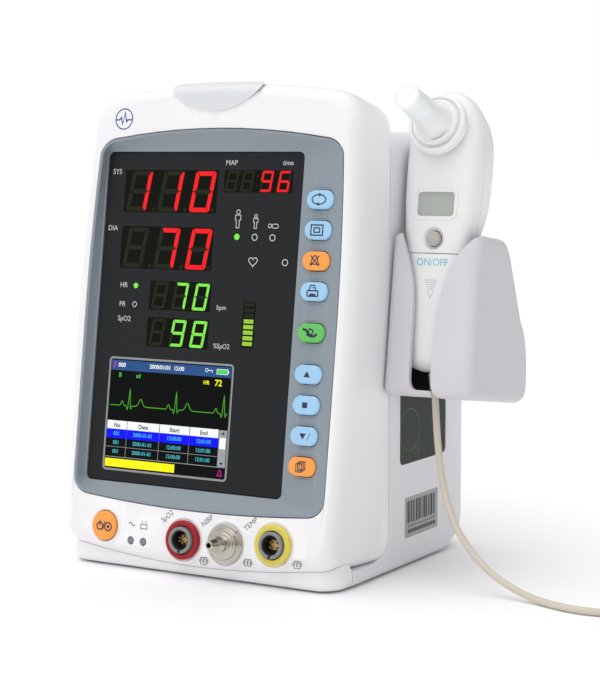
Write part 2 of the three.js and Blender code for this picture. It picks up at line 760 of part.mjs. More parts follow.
function thermometerForm(shrink) {
  const rings = THERMO_SECTIONS.map(([v, half, front, back, corner], i) => {
    const end = i === 0 ? shrink : i === THERMO_SECTIONS.length - 1 ? -shrink : 0;
    const middle = (front + back) / 2;
    const size = {
      halfWidth: half - shrink,
      bottom: -(back - front) / 2 + shrink,
      top: (back - front) / 2 - shrink,
      cornerTop: corner - shrink,
    };
    return outline(size, STRAIGHT).map((p) => new THREE.Vector3(p.x, middle + p.y, v + end));
  });
  return loft(rings);
}

const ahead = (y) => box(-FAR, FAR, -FAR, y, -FAR, FAR);
const behind = (y) => box(-FAR, FAR, y, FAR, -FAR, FAR);

// The probe leans up from the panel's forward direction, at the head.
const probeTurn = new THREE.Matrix4()
  .makeTranslation(0, PROBE.depth, PROBE.v)
  .multiply(new THREE.Matrix4().makeRotationX(-PROBE.rise));
const onProbe = (geometry) => geometry.applyMatrix4(probeTurn);

const FACE_HOLE = [20, 38]; // depths of the tools that cut holes in its front shell

const windowShape = (grow) => {
  const { v, halfWidth, halfHeight } = THERMO_WINDOW;
  return rectangle(0, v, halfWidth + grow, halfHeight + grow, 0.8 + grow);
};

function thermometerFront() {
  const shell = cut(thermometerForm(0), thermometerForm(THERMO.shell), behind(THERMO.split - 0.15));
  const windowHole = slab(windowShape(0.3), ...FACE_HOLE, 2);
  const keyHole = slab(disc(0, THERMO_KEY.v, THERMO_KEY.radius + GAP), ...FACE_HOLE, 4);
  const probeHole = onProbe(new THREE.CylinderGeometry(9, 9, 40, 20));
  const coverSeat = box(-FAR, FAR, -FAR, BATTERY_COVER.back, -FAR, BATTERY_COVER.top);
  return cut(shell, windowHole, keyHole, probeHole, coverSeat);
}

const thermometerBack = () =>
  cut(thermometerForm(0), thermometerForm(THERMO.shell), ahead(THERMO.split + 0.15));

// The battery cover is the front face's lower part, and slides down off it.
function thermometerBatteryCover() {
  const { top, bottom, back } = BATTERY_COVER;
  const face = common(thermometerForm(0), box(-FAR, FAR, -FAR, back - GAP, bottom, top - GAP));
  return cut(face, thermometerForm(THERMO.shell));
}

const thermometerWindow = () =>
  slab(windowShape(0), THERMO_WINDOW.front, THERMO_WINDOW.back, 2);

const thermometerKey = () =>
  turned(
    [
      [0, -38],
      [THERMO_KEY.radius, -38],
      [THERMO_KEY.radius, -34.4],
      [THERMO_KEY.radius - 1, -33.2],
      [0, -33],
    ],
    14,
  );

const thermometerBoard = () => box(-10, 10, 46, 47.6, 0, 95);

// The probe's barrel and locking collar, and the clear cover on its tip; the height runs
// forwards from the collar's plane.
const probeBarrel = () =>
  onProbe(
    turned(
      [
        [0, -12],
        [8.6, -12],
        [8.6, -7.2],
        [14.4, -6.6],
        [14.4, -1],
        [13.2, 0],
        [9.2, 0],
        [7.4, 6],
        [4.9, 16],
        [4.3, 27],
        [0, 27],
      ],
      22,
    ),
  );

const probeCover = () =>
  onProbe(
    turned(
      [
        [5.3, 16.3],
        [6.2, 16.3],
        [5.7, 29.2],
        [5.2, 30.2],
        [0, 30.2],
        [0, 27.4],
        [4.7, 27.4],
        [5.3, 16.3],
      ],
      18,
    ),
  );

// A tapered sleeve below the thermometer's lower end.
const strainRelief = () =>
  new THREE.CylinderGeometry(3.6, 2.4, 7.6, 12).rotateX(Math.PI / 2).translate(0, 46, -21.5);

// ---------------------------------------------------------------- cord

// The cord's way from the strain relief, down past the holder and along the tabletop.
const CORD_ROUTE = [
  [98.2, 42.2, 89.8],
  [98.6, 42, 85],
  [99.8, 40.6, 77],
  [101.4, 38.8, 68],
  [103.6, 36.8, 58],
  [106.4, 34.6, 48.4],
  [110.6, 31.6, 38.4],
  [115.8, 29.2, 29.6],
  [122, 27.2, 22],
  [129.4, 25.2, 15.4],
  [138, 23.4, 9.8],
  [147.4, 21.8, 5.6],
  [157, 19.8, 2.9],
  [167, 16.6, 1.9],
  [177, 13.2, 1.9],
  [187, 11.9, 1.9],
  [197, 13.5, 1.9],
  [206.5, 16.6, 1.9],
  [216, 17.45, 1.9],
].map(([x, y, z]) => new THREE.Vector3(x, y, z));

const cord = () => tube(CORD_ROUTE, CORD.radius, CORD.sides, 40);

function cordCoil() {
  const half = COIL.width * CORD.radius;
  const low = 0.25;
  const high = low + COIL.layers * 2 * CORD.radius;
  return new THREE.LatheGeometry(
    [
      [COIL.radius - half, low],
      [COIL.radius + half, low],
      [COIL.radius + half, high],
      [COIL.radius - half, high],
      [COIL.radius - half, low],
    ].map(([r, h]) => new THREE.Vector2(r, h)),
    28,
  )
    .rotateX(Math.PI / 2)
    .translate(COIL.x, COIL.y, 0);
}

// A place beside the coil: degrees clockwise from its rear side, seen from above.
function besideCoil(degrees, radius, height) {
  const angle = THREE.MathUtils.degToRad(90 - degrees);
  return new THREE.Vector3(
    COIL.x + radius * Math.cos(angle),
    COIL.y + radius * Math.sin(angle),
    height,
  );
}

// The cord's last stretch leaves the coil's top turn and runs down round its outside.
const TAIL = [
  [328, 25.15, 11.1],
  [350, 26.2, 10],
  [375, 27.2, 8.3],
  [400, 27.9, 6.6],
  [420, 28.15, 5.4],
  [435, 28.2, 4.85],
];

// The connector at the cord's far end: a tapered sleeve, a body and a nose.
function cordPlug() {
  const end = TAIL.at(-1);
  const plug = new THREE.LatheGeometry(
    [
      [0, 0],
      [2.3, 0],
      [3.4, 12],
      [4.6, 13],
      [4.6, 28],
      [3.7, 29],
      [3.7, 38],
      [0, 38],
    ].map(([r, h]) => new THREE.Vector2(r, h)),
    14,
  )
    .rotateZ(THREE.MathUtils.degToRad(-90 - end[0]))
    .translate(...besideCoil(...end));
  const stretch = tube(TAIL.map((place) => besideCoil(...place)), CORD.radius, CORD.sides, 12);
  return join(plug, stretch);
}

// ---------------------------------------------------------------- assembly

const part = new THREE.Group();
const monitor = new THREE.Group();
const panel = new THREE.Group();
part.add(monitor);
panel.position.set(0, 0, PANEL_HEIGHT);
panel.rotation.x = -LEAN;
const thermometer = new THREE.Group();
thermometer.position.x = THERMO.x;
panel.add(thermometer);
monitor.add(panel);

function add(parent, name, shape, look, place = [0, 0, 0]) {
  const geometry = shape.isBufferGeometry ? shape : toGeometry(shape);
  const mesh = new THREE.Mesh(geometry, new THREE.MeshStandardMaterial(look));
  mesh.name = name;
  mesh.position.set(...place);
  parent.add(mesh);
}

add(monitor, "front_cover", frontCover(), WHITE);
add(monitor, "rear_housing", rearHousing(), WHITE);
add(monitor, "base_skirt", baseSkirt(), WHITE);
add(monitor, "alarm_lens", alarmLens(), CLEAR);
add(monitor, "carry_handle", carryHandle(), WHITE);
add(monitor, "module_cover", moduleCover(), DARK);
add(monitor, "ac_inlet", acInlet(), RUBBER);
add(monitor, "ground_post", groundPost(), METAL, [0, 0, POST.z]);
add(monitor, "battery_door", batteryDoor(), WHITE);
for (const [name, x, y] of [
  ["foot_front_left", -FOOT.x, FOOT.front],
  ["foot_front_right", FOOT.x, FOOT.front],
  ["foot_rear_left", -FOOT.x, FOOT.rear],
  ["foot_rear_right", FOOT.x, FOOT.rear],
]) {
  add(monitor, name, foot(), RUBBER, [x, y, 0]);
}

add(monitor, "chassis_frame", chassisFrame(), SHEET);
add(monitor, "main_board", mainBoard(), BOARD);
add(monitor, "power_supply", powerSupply(), BOARD);
add(monitor, "battery_pack", slab(rectangle(DOOR.x, DOOR.z, 36, 18), 100, 122), DARK);
add(monitor, "nibp_pump", pump(), METAL);
add(monitor, "speaker", speaker(), RUBBER);
const airRoute = [
  onPanel(NIBP_PORT.x, 7.4, NIBP_PORT.v),
  onPanel(NIBP_PORT.x, 12, NIBP_PORT.v),
  new THREE.Vector3(22, 12, 22),
  new THREE.Vector3(PUMP.inletX, 30, PUMP.z),
  new THREE.Vector3(PUMP.inletX, 49, PUMP.z),
];
add(monitor, "air_tube", tube(airRoute, 2.2, 8, 14), CLEAR);

add(panel, "panel_bezel", panelBezel(), GREY);
add(panel, "display_window", displayWindow(), BLACK);
add(panel, "display_board", slab(rectangle(0, 0, 64, 88), 10, 11.6), BOARD);
for (const [name, x0, x1, v0, v1] of [
  ["sys_digits", -56.5, -2, 51.6, 72.4],
  ["dia_digits", -56.4, -2.5, 23.8, 44.7],
  ["map_digits", 1.4, 39.7, 61.9, 72.6],
  ["hr_digits", -37.2, -1.5, 4.1, 18.2],
  ["spo2_digits", -37.4, -1.4, -13.9, 0.3],
  ["pulse_bargraph", 17.7, 23.7, -11.4, 9.6],
  ["lcd_module", -57.9, 14.4, -75.7, -20.2],
]) {
  add(panel, name, digitModule(x0, x1, v0, v1), BLACK);
}

const keyLook = { alarm_mute_key: ORANGE, records_key: ORANGE, cuff_key: GREEN };
for (const [name, v] of Object.entries(KEY_HEIGHTS)) {
  add(panel, name, panelKey(), keyLook[name] ?? BLUE, [KEY.x, 0, v]);
}
add(panel, "power_key", powerKey(), ORANGE, [POWER_KEY.x, 0, POWER_KEY.v]);
for (const [name, x] of Object.entries(LAMPS)) add(panel, name, lamp(), CLEAR, [x, 0, LAMP.v]);
add(panel, "spo2_socket", cableSocket(), DARK, [SPO2_PORT.x, 0, SPO2_PORT.v]);
add(panel, "spo2_ring", portRing(SPO2_PORT.ring), RED, [SPO2_PORT.x, 0, SPO2_PORT.v]);
add(panel, "temp_socket", cableSocket(), DARK, [TEMP_PORT.x, 0, TEMP_PORT.v]);
add(panel, "temp_ring", portRing(TEMP_PORT.ring), YELLOW, [TEMP_PORT.x, 0, TEMP_PORT.v]);
add(panel, "nibp_port", nibpPort(), METAL, [NIBP_PORT.x, 0, NIBP_PORT.v]);

add(panel, "thermometer_holder", thermometerHolder(), WHITE);
add(thermometer, "thermometer_front", thermometerFront(), WHITE);
add(thermometer, "thermometer_back", thermometerBack(), WHITE);
add(thermometer, "thermometer_battery_cover", thermometerBatteryCover(), WHITE);
add(thermometer, "thermometer_window", thermometerWindow(), GREY);
add(thermometer, "thermometer_key", thermometerKey(), GREY, [0, 0, THERMO_KEY.v]);
add(thermometer, "thermometer_board", thermometerBoard(), BOARD);
add(thermometer, "probe_barrel", probeBarrel(), WHITE);
add(thermometer, "probe_cover", probeCover(), CLEAR);
add(thermometer, "strain_relief", strainRelief(), BEIGE);

// Everything so far stands on the tabletop: its box sets the origin.
const standing = new THREE.Box3().setFromObject(part, true);
const middle = standing.getCenter(new THREE.Vector3());
monitor.position.set(-middle.x, -middle.y, -standing.min.z);

add(monitor, "cord", cord(), BEIGE);
add(monitor, "cord_coil", cordCoil(), BEIGE);
add(monitor, "cord_plug", cordPlug(), RUBBER);

export default part;
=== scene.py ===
import json
import math

import bmesh
import bpy
from mathutils import Matrix, Vector


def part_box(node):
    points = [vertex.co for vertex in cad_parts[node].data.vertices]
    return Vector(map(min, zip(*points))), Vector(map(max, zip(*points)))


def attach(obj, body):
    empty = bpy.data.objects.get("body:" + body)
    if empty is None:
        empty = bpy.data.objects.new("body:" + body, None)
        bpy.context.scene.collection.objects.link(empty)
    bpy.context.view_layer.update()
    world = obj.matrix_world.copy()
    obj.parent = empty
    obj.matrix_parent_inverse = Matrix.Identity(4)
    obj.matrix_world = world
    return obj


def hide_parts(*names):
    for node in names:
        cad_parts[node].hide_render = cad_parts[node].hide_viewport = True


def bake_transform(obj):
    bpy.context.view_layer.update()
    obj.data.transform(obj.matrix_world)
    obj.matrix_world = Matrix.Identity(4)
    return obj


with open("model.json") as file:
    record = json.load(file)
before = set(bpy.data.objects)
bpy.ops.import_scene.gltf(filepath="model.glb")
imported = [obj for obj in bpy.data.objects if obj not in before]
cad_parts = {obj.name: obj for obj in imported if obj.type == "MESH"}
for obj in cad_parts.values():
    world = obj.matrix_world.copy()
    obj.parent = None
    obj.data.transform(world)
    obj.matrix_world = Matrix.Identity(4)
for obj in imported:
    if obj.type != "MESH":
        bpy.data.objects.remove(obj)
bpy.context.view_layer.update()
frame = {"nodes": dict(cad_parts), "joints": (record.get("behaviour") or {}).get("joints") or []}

MM = 0.001
scene = bpy.context.scene

# ------------------------------------------------------------------ the frames
# All shapes are drawn in millimetres in one of these frames, and placed by its matrix.


def middle_of(node):
    low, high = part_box(node)
    return (low + high) / 2


def shift(x, y, z):
    return Matrix.Translation(Vector((x, y, z)) * MM)


def turn(axis, degrees):
    return Matrix.Rotation(math.radians(degrees), 4, axis)


FOOT_DEPTH = 12  # the front feet, behind the origin of the monitor's frame
WINDOW_X, WINDOW_THICK = -11, 2.2
feet_middle = (middle_of("foot_front_left") + middle_of("foot_front_right")) / 2
MONITOR = Matrix.Translation((feet_middle.x, feet_middle.y - FOOT_DEPTH * MM, 0))
into_panel = Vector(next(j["axis"] for j in frame["joints"] if j["name"] == "cycle_key_press"))
LEAN = math.atan2(-into_panel.z, into_panel.y)
lean_turn = Matrix.Rotation(-LEAN, 4, "X")
window_middle = Vector((WINDOW_X, WINDOW_THICK / 2, 0)) * MM
PANEL = Matrix.Translation(middle_of("display_window") - lean_turn @ window_middle) @ lean_turn
TO_MONITOR = MONITOR.inverted() @ PANEL
thermometer_x = middle_of("thermometer_board").x - feet_middle.x
THERMOMETER = PANEL @ Matrix.Translation((thermometer_x, 0, 0))
PROBE_RISE = 13.2  # degrees
PROBE = THERMOMETER @ shift(0, 26.2, 99.2) @ turn("X", -PROBE_RISE)
SIDE = MONITOR @ turn("Z", 90)  # its X runs backwards and its depth towards the middle
BACK = MONITOR @ turn("Z", 180)  # its X runs to the left and its depth forwards

# ------------------------------------------------------------------ camera

CAMERA_PLACE = (484.3, -737.5, 202.1)
CAMERA_AZIMUTH = 30.55
CAMERA_PITCH = 5.78
camera = bpy.data.objects.new("camera", bpy.data.cameras.new("camera"))
camera.data.sensor_width = 36
camera.data.lens = 97.9
camera.location = MONITOR @ (Vector(CAMERA_PLACE) * MM)
camera.rotation_euler = (math.radians(90 - CAMERA_PITCH), 0, math.radians(CAMERA_AZIMUTH))
scene.collection.objects.link(camera)
scene.camera = camera

# ------------------------------------------------------------------ materials

ROUGHNESS_DRIFT = 0.05
GRAIN_HEIGHT = 0.0001  # metres
SCATTER_DEPTH = 0.004  # metres
WORN_EDGE = (0.52, 0.62)  # the pointiness at which wear starts and is full
WORN_SHADE = 1.25
MIX_SHARE, MIX_A, MIX_B, MIX_RESULT = 0, 6, 7, 2  # a colour mix's inputs and its output
SHADER_INPUTS = {
    "metallic": "Metallic",
    "specular": "Specular IOR Level",
    "coat": "Coat Weight",
    "subsurface": "Subsurface Weight",
}


def linear(value):
    """A level picked as 0 to 255 on a screen, as a linear one."""
    share = value / 255
    return share / 12.92 if share <= 0.04045 else ((share + 0.055) / 1.055) ** 2.4


def shaded(base, factor):
    """A colour picked on a screen, as a linear one, lighter or darker by a factor."""
    return tuple(linear(level) * factor for level in base) + (1,)


def feed(tree, node, inputs):
    """Sets a node's inputs, or wires them to another node's output."""
    for key, value in inputs.items():
        if isinstance(value, bpy.types.NodeSocket):
            tree.links.new(value, node.inputs[key])
        else:
            node.inputs[key].default_value = value


def add_node(tree, kind, inputs=None, **settings):
    node = tree.nodes.new("ShaderNode" + kind)
    for key, value in settings.items():
        setattr(node, key, value)
    feed(tree, node, inputs or {})
    return node


def finish_of(
    name, base, roughness, mottle, mottle_scale, grain=0.02, grain_scale=3500, glow=0, wear=0, **surface
):
    """A moulded or plated finish: its colour drifts a little over the surface, its roughness
    varies, it has a fine grain, and its edges are worn a little lighter."""
    look = bpy.data.materials.new(name)
    look.use_nodes = True
    tree = look.node_tree
    shader = tree.nodes["Principled BSDF"]
    feed(tree, shader, {SHADER_INPUTS[key]: value for key, value in surface.items()})
    feed(tree, shader, {"Coat Roughness": 0.1})
    place = add_node(tree, "TexCoord").outputs["Object"]
    drift = add_node(tree, "TexNoise", {"Scale": mottle_scale, "Detail": 4, "Vector": place})
    colour = add_node(tree, "Mix", data_type="RGBA")
    feed(tree, colour, {MIX_SHARE: drift.outputs["Fac"]})
    feed(tree, colour, {MIX_A: shaded(base, 1 - mottle), MIX_B: shaded(base, 1 + mottle)})
    if wear:
        edge = add_node(tree, "NewGeometry").outputs["Pointiness"]
        limits = {"From Min": WORN_EDGE[0], "From Max": WORN_EDGE[1], "To Max": wear, "Value": edge}
        sharp = add_node(tree, "MapRange", limits)
        worn = add_node(tree, "Mix", data_type="RGBA")
        feed(tree, worn, {MIX_SHARE: sharp.outputs[0]})
        feed(tree, worn, {MIX_A: colour.outputs[MIX_RESULT], MIX_B: shaded(base, WORN_SHADE)})
        colour = worn
    tint = colour.outputs[MIX_RESULT]
    feed(tree, shader, {"Base Color": tint})
    if glow:
        feed(tree, shader, {"Emission Strength": glow, "Emission Color": tint})
    if "subsurface" in surface:
        feed(tree, shader, {"Subsurface Scale": SCATTER_DEPTH})
    fine = add_node(tree, "TexNoise", {"Scale": grain_scale, "Detail": 2, "Vector": place})
    low, high = max(0.02, roughness - ROUGHNESS_DRIFT), min(1.0, roughness + ROUGHNESS_DRIFT)
    gloss = add_node(tree, "MapRange", {"To Min": low, "To Max": high, "Value": drift.outputs["Fac"]})
    feed(tree, shader, {"Roughness": gloss.outputs[0]})
    if grain:
        bump = {"Strength": grain, "Distance": GRAIN_HEIGHT, "Height": fine.outputs["Fac"]}
        feed(tree, shader, {"Normal": add_node(tree, "Bump", bump).outputs[0]})
    return look


# Each finish: its name, colour as 0 to 255, roughness, colour drift and its scale, grain and its scale.
WHITE = finish_of("moulded white", (240, 239, 241), 0.38, 0.012, 30, 0.25, 2600, wear=0.25)
# The rear housing is the same plastic as the cover; its darker white is painted shade for its shaded sides.
HOUSING_WHITE_PAINTED_SHADE = finish_of("housing white with painted shade", (229, 228, 232), 0.4, 0.012, 30, 0.3, 2600, wear=0.2)
# The holder's white is darker than the cover's: painted shade on the holder's sides.
HOLDER_WHITE_PAINTED_SHADE = finish_of("holder white with painted shade", (210, 207, 212), 0.42, 0.012, 30, 0.3, 2600, wear=0.2)
THERMO_WHITE = finish_of("thermometer white", (240, 240, 240), 0.3, 0.004, 15, 0.08, 3000)
BEZEL_GREY = finish_of("bezel grey", (137, 147, 155), 0.48, 0.02, 40, 0.5, 3200, wear=0.3)
WINDOW_BLACK = finish_of("printed window", (36, 37, 39), 0.32, 0.03, 25, 0.03, 2000, specular=0.13)
DIGIT_BACK = finish_of("digit window", (17, 19, 12), 0.25, 0.08, 300, 0.02, 2000, specular=0.06)
SEGMENT_OFF = finish_of("unlit segment", (38, 41, 30), 0.35, 0.1, 400, 0.02, 2000, specular=0.06)
RED_GLOW = finish_of("red segment", (206, 14, 22), 0.4, 0.1, 500, glow=0.52, specular=0.2)
GREEN_GLOW = finish_of("green segment", (112, 204, 66), 0.4, 0.1, 500, glow=0.42, specular=0.2)
LABEL_PALE = finish_of("pale print", (200, 203, 206), 0.5, 0.04, 200)
LABEL_GREY = finish_of("grey print", (80, 82, 88), 0.5, 0.05, 200)
LENS = finish_of("frosted lens", (220, 221, 224), 0.32, 0.012, 40, 0.2, 2600, subsurface=0.35)
LAMP_GREY = finish_of("lamp lens", (120, 124, 132), 0.25, 0.06, 300, 0.05, coat=0.3)
KEY_BLUE = finish_of("blue key", (160, 203, 236), 0.42, 0.03, 120, 0.25, 2600, wear=0.25)
KEY_ORANGE = finish_of("orange key", (250, 160, 72), 0.42, 0.03, 120, 0.25, 2600, wear=0.25)
KEY_GREEN = finish_of("green key", (98, 192, 92), 0.42, 0.03, 120, 0.25, 2600, wear=0.25)
ICON_INK = finish_of("icon ink", (28, 40, 66), 0.5, 0.08, 300)
RING_RED = finish_of("red ring", (158, 16, 26), 0.34, 0.05, 200, 0.15, 2000, coat=0.12, specular=0.3)
RING_YELLOW = finish_of("yellow ring", (220, 202, 82), 0.32, 0.04, 200, 0.15, 2000, coat=0.2)
SOCKET_GREY = finish_of("socket grey", (132, 136, 138), 0.35, 0.05, 300, 0.2, 2500)
SOCKET_DARK = finish_of("socket well", (34, 35, 34), 0.5, 0.08, 300, 0.2, 2500)
GOLD = finish_of("gilt contacts", (196, 168, 106), 0.3, 0.08, 400, 0.15, 2500, metallic=0.9)
NICKEL = finish_of("nickel plate", (192, 187, 176), 0.18, 0.05, 250, 0.12, 1800, metallic=1.0)
PLATE_DARK = finish_of("dark plate", (50, 55, 48), 0.45, 0.05, 60, 0.3, 2600, specular=0.15)
RING_GREEN = finish_of("green print", (34, 88, 42), 0.5, 0.08, 200)
INLET_BLACK = finish_of("inlet black", (34, 34, 36), 0.45, 0.06, 100, 0.4, 2200, wear=0.3)
RUBBER = finish_of("foot rubber", (40, 40, 42), 0.75, 0.1, 150, 0.6, 1600)
CORD_BEIGE = finish_of("cord sheath", (207, 199, 184), 0.48, 0.03, 150, 0.3, 1800)
PLUG_GREY = finish_of("plug grey", (112, 110, 106), 0.45, 0.05, 200, 0.4, 1800)
LABEL_SILVER = finish_of("silver label", (150, 151, 153), 0.3, 0.04, 50, 0.15, 1500, metallic=0.5)
LABEL_INK = finish_of("label ink", (30, 30, 32), 0.5, 0.06, 200)
LCD_GREY = finish_of("reflective display", (176, 180, 174), 0.2, 0.03, 100, 0.03, 1500, coat=0.4)
KEY_GREY = finish_of("thermometer key", (184, 178, 172), 0.4, 0.04, 200, 0.2, 2500)
PROBE_FILM = finish_of("probe film", (247, 247, 245), 0.22, 0.01, 80, 0.05, 2000, subsurface=0.2, coat=0.2)
CYAN_INK = finish_of("cyan print", (120, 190, 214), 0.5, 0.05, 200)
BRAND_BLUE = finish_of("blue print", (34, 68, 140), 0.5, 0.05, 200)
SCREW_STEEL = finish_of("screw steel", (150, 150, 152), 0.3, 0.06, 300, 0.2, 2500, metallic=1.0)
SCREEN = {
    name: finish_of("screen " + name, tone, 0.3, 0.03, 900, glow=0.55, specular=0.08)
    for name, tone in {
        "white": (204, 207, 208),
        "black": (4, 5, 5),
        "blue": (12, 14, 224),
        "bar": (36, 68, 112),
        "green": (52, 190, 60),
        "trace": (60, 136, 28),
        "yellow": (214, 206, 20),
        "teal": (58, 148, 156),
        "magenta": (180, 32, 136),
        "grey": (128, 133, 137),
    }.items()
}

# ------------------------------------------------------------------ mesh helpers

LONGEST_BEND = 0.45  # of the stretches beside a rounded corner
SAME_PLACE = 1e-7  # metres; points closer than this are joined


def link(name, mesh, place, look=None):
    made = bpy.data.objects.new(name, mesh)
    scene.collection.objects.link(made)
    made.matrix_world = place
    if look is not None:
        mesh.materials.append(look)
    return made


def solid(name, shape, place, look=None):
    """A piece from points in millimetres and faces, which are turned outwards."""
    points, faces = shape
    mesh = bpy.data.meshes.new(name)
    mesh.from_pydata([Vector(p) * MM for p in points], [], faces)
    skin = bmesh.new()
    skin.from_mesh(mesh)
    bmesh.ops.remove_doubles(skin, verts=skin.verts, dist=SAME_PLACE)
    bmesh.ops.recalc_face_normals(skin, faces=skin.faces)
    skin.to_mesh(mesh)
    skin.free()
    return link(name, mesh, place, look)


def evaluated_mesh(made):
    bpy.context.view_layer.update()
    return bpy.data.meshes.new_from_object(made.evaluated_get(bpy.context.evaluated_depsgraph_get()))


def settle(made):
    """Applies an object's modifiers."""
    mesh = evaluated_mesh(made)
    made.modifiers.clear()
    made.data = mesh
    return made


def combine(made, operation, tools):
    """Cuts, joins or intersects with other solids, which are used up."""
    for tool in tools:
        step = made.modifiers.new("boolean", "BOOLEAN")
        step.operation = operation
        step.solver = "EXACT"
        step.object = tool
    settle(made)
    for tool in tools:
        bpy.data.objects.remove(tool)
    return made


def cut(made, *tools):
    return combine(made, "DIFFERENCE", tools)


def paint(made, look):
    """One look for a whole piece, whose parts came from several solids."""
    made.data.materials.clear()
    made.data.materials.append(look)


def soften(made, width, segments=2, angle=50):
    """Rounds the edges that are sharper than an angle, by a width in millimetres."""
    step = made.modifiers.new("bevel", "BEVEL")
    step.width = width * MM
    step.segments = segments
    step.limit_method = "ANGLE"
    step.angle_limit = math.radians(angle)
    step.use_clamp_overlap = True
    step.miter_outer = "MITER_ARC"
    return settle(made)


def shade(made, angle=40, weighted=True):
    """Smooth faces with creases at edges sharper than the angle."""
    made.data.shade_smooth()
    made.data.set_sharp_from_angle(angle=math.radians(angle))
    if weighted:
        step = made.modifiers.new("normals", "WEIGHTED_NORMAL")
        step.keep_sharp = True
        step.weight = 50
        settle(made)
    return made


def keep(made, stands_for=(), body="root"):
    """The piece rides on a body and stands for CAD nodes, which are hidden."""
    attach(made, body)
    if stands_for:
        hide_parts(*([stands_for] if isinstance(stands_for, str) else stands_for))
    return made


def pairs_of(items, closed):
    """Each item with the one after it, round to the first when closed."""
    following = items[1:] + items[:1] if closed else items[1:]
    return list(zip(items, following))


def loft(rings, closed=False):
    """Points and faces of a skin through rings with equal numbers of points."""
    count = len(rings[0])
    points = [p for ring in rings for p in ring]
    starts = [k * count for k in range(len(rings))]
    sides = pairs_of(list(range(count)), True)
    faces = [(a + i, a + j, b + j, b + i) for a, b in pairs_of(starts, closed) for i, j in sides]
    if not closed:
        faces += [tuple(range(start, start + count)) for start in (starts[0], starts[-1])]
    return points, faces


def turned(profile, segments=64, closed=False):
    """A piece turned about Y: the profile gives (radius, height), its height towards -Y."""
    rings, points, faces = [], [], []
    for radius, height in profile:
        first = len(points)
        around = circle(0, 0, radius, segments) if radius > 1e-6 else [(0, 0)]
        points += at_depth(around, -height)
        rings.append(range(first, len(points)))
    for a, b in pairs_of(rings, closed):
        for i in range(segments):
            j = (i + 1) % segments
            face = [a[i % len(a)], a[j % len(a)], b[j % len(b)], b[i % len(b)]]
            face = list(dict.fromkeys(face))
            if len(face) > 2:
                faces.append(face)
    return points, faces


def bezier(points, t):
    """A place on a Bezier curve."""
    points = [Vector(p) for p in points]
    while len(points) > 1:
        points = [a.lerp(b, t) for a, b in zip(points, points[1:])]
    return tuple(points[0])


def curve(*points, steps=10):
    """Stops along a Bezier curve, without its start."""
    return [bezier(points, i / steps) for i in range(1, steps + 1)]


def rounded(profile, radius, steps=3):
    """A profile of straight stretches with its corners rounded; its ends stay."""
    made = [profile[0]]
    for before, corner, after in zip(profile, profile[1:], profile[2:]):
        c = Vector(corner)
        to_a, to_b = Vector(before) - c, Vector(after) - c
        reach = min(radius, to_a.length * LONGEST_BEND, to_b.length * LONGEST_BEND)
        bend = (c + to_a.normalized() * reach, c, c + to_b.normalized() * reach)
        made += [bezier(bend, i / steps) for i in range(steps + 1)]
    made.append(profile[-1])
    return made


def quarter(steps, first=0):
    """Stops along a quarter turn, as pairs of its sine and of one less its cosine."""
    turns = [math.pi / 2 * i / steps for i in range(first, steps + 1)]
    return [(math.sin(t), 1 - math.cos(t)) for t in turns]


def arc(x, z, radius, start, end, steps=12):
    turns = [math.radians(start + (end - start) * i / steps) for i in range(steps + 1)]
    return [(x + radius * math.cos(t), z + radius * math.sin(t)) for t in turns]


def circle(x, z, radius, steps=64):
    return arc(x, z, radius, 0, 360, steps)[:-1]


def outline(half_width, bottom, top, corner, corner_bottom=None, corner_steps=8, edge_steps=10):
    """The points of a rounded rectangle in X and Z, round from its lower right corner."""
    low = corner if corner_bottom is None else corner_bottom
    arcs = [
        arc(half_width - low, bottom + low, low, -90, 0, corner_steps),
        arc(half_width - corner, top - corner, corner, 0, 90, corner_steps),
        arc(corner - half_width, top - corner, corner, 90, 180, corner_steps),
        arc(low - half_width, bottom + low, low, 180, 270, corner_steps),
    ]
    points = []
    for bend, following in pairs_of(arcs, True):
        (x0, z0), (x1, z1) = bend[-1], following[0]
        shares = [k / edge_steps for k in range(1, edge_steps)]
        points += bend + [(x0 * (1 - t) + x1 * t, z0 * (1 - t) + z1 * t) for t in shares]
    return points


def barrel(half_width, bottom, top, corner, corner_bottom, narrow, drop_by):
    """A rounded rectangle whose sides pull in and whose ends drop towards the corners."""
    made = []
    for x, z in outline(half_width, bottom, top, corner, corner_bottom):
        reach = z / top if z > 0 else z / bottom
        share = x / half_width
        pull = narrow[0] if z > 0 else narrow[1]
        fall = drop_by[0] if z > 0 else -drop_by[1]
        made.append((x - share * pull * reach**2, z - reach**2 * fall * share**2))
    return made


def at_depth(points, depth):
    return [(x, depth, z) for x, z in points]


def slab(name, points, y0, y1, place=PANEL, look=None):
    """A flat outline in X and Z, solid from depth y0 to y1."""
    return solid(name, loft([at_depth(points, y0), at_depth(points, y1)]), place, look)


def plank(name, points, x0, x1, place, look=None):
    """A flat outline in Y and Z, solid from x0 to x1."""
    return solid(name, loft([[(x, y, z) for y, z in points] for x in (x0, x1)]), place, look)


def rectangle(x, z, half_width, half_height, corner=0.0, steps=6):
    if corner <= 0:
        w, h = half_width, half_height
        shape = [(w, -h), (w, h), (-w, h), (-w, -h)]
    else:
        shape = outline(half_width, -half_height, half_height, corner, None, steps, 1)
    return [(x + a, z + b) for a, b in shape]


def pad_rings(x, z, half_width, half_height, corner, front, back, edge, steps=5):
    """Rings of a pad with a rounded front edge."""
    rings = []
    for rise, run in quarter(steps):
        inset = edge * (1 - rise)
        shape = rectangle(x, z, half_width - inset, half_height - inset, corner - inset, 10)
        rings.append(at_depth(shape, front + edge * run))
    rings.append(at_depth(rectangle(x, z, half_width, half_height, corner, 10), back))
    return rings


def block(place, x0, x1, y0, y1, z0, z1):
    """A plain box, used as a cutting tool."""
    return slab("block", [(x1, z0), (x1, z1), (x0, z1), (x0, z0)], y0, y1, place)


# ------------------------------------------------------------------ cord

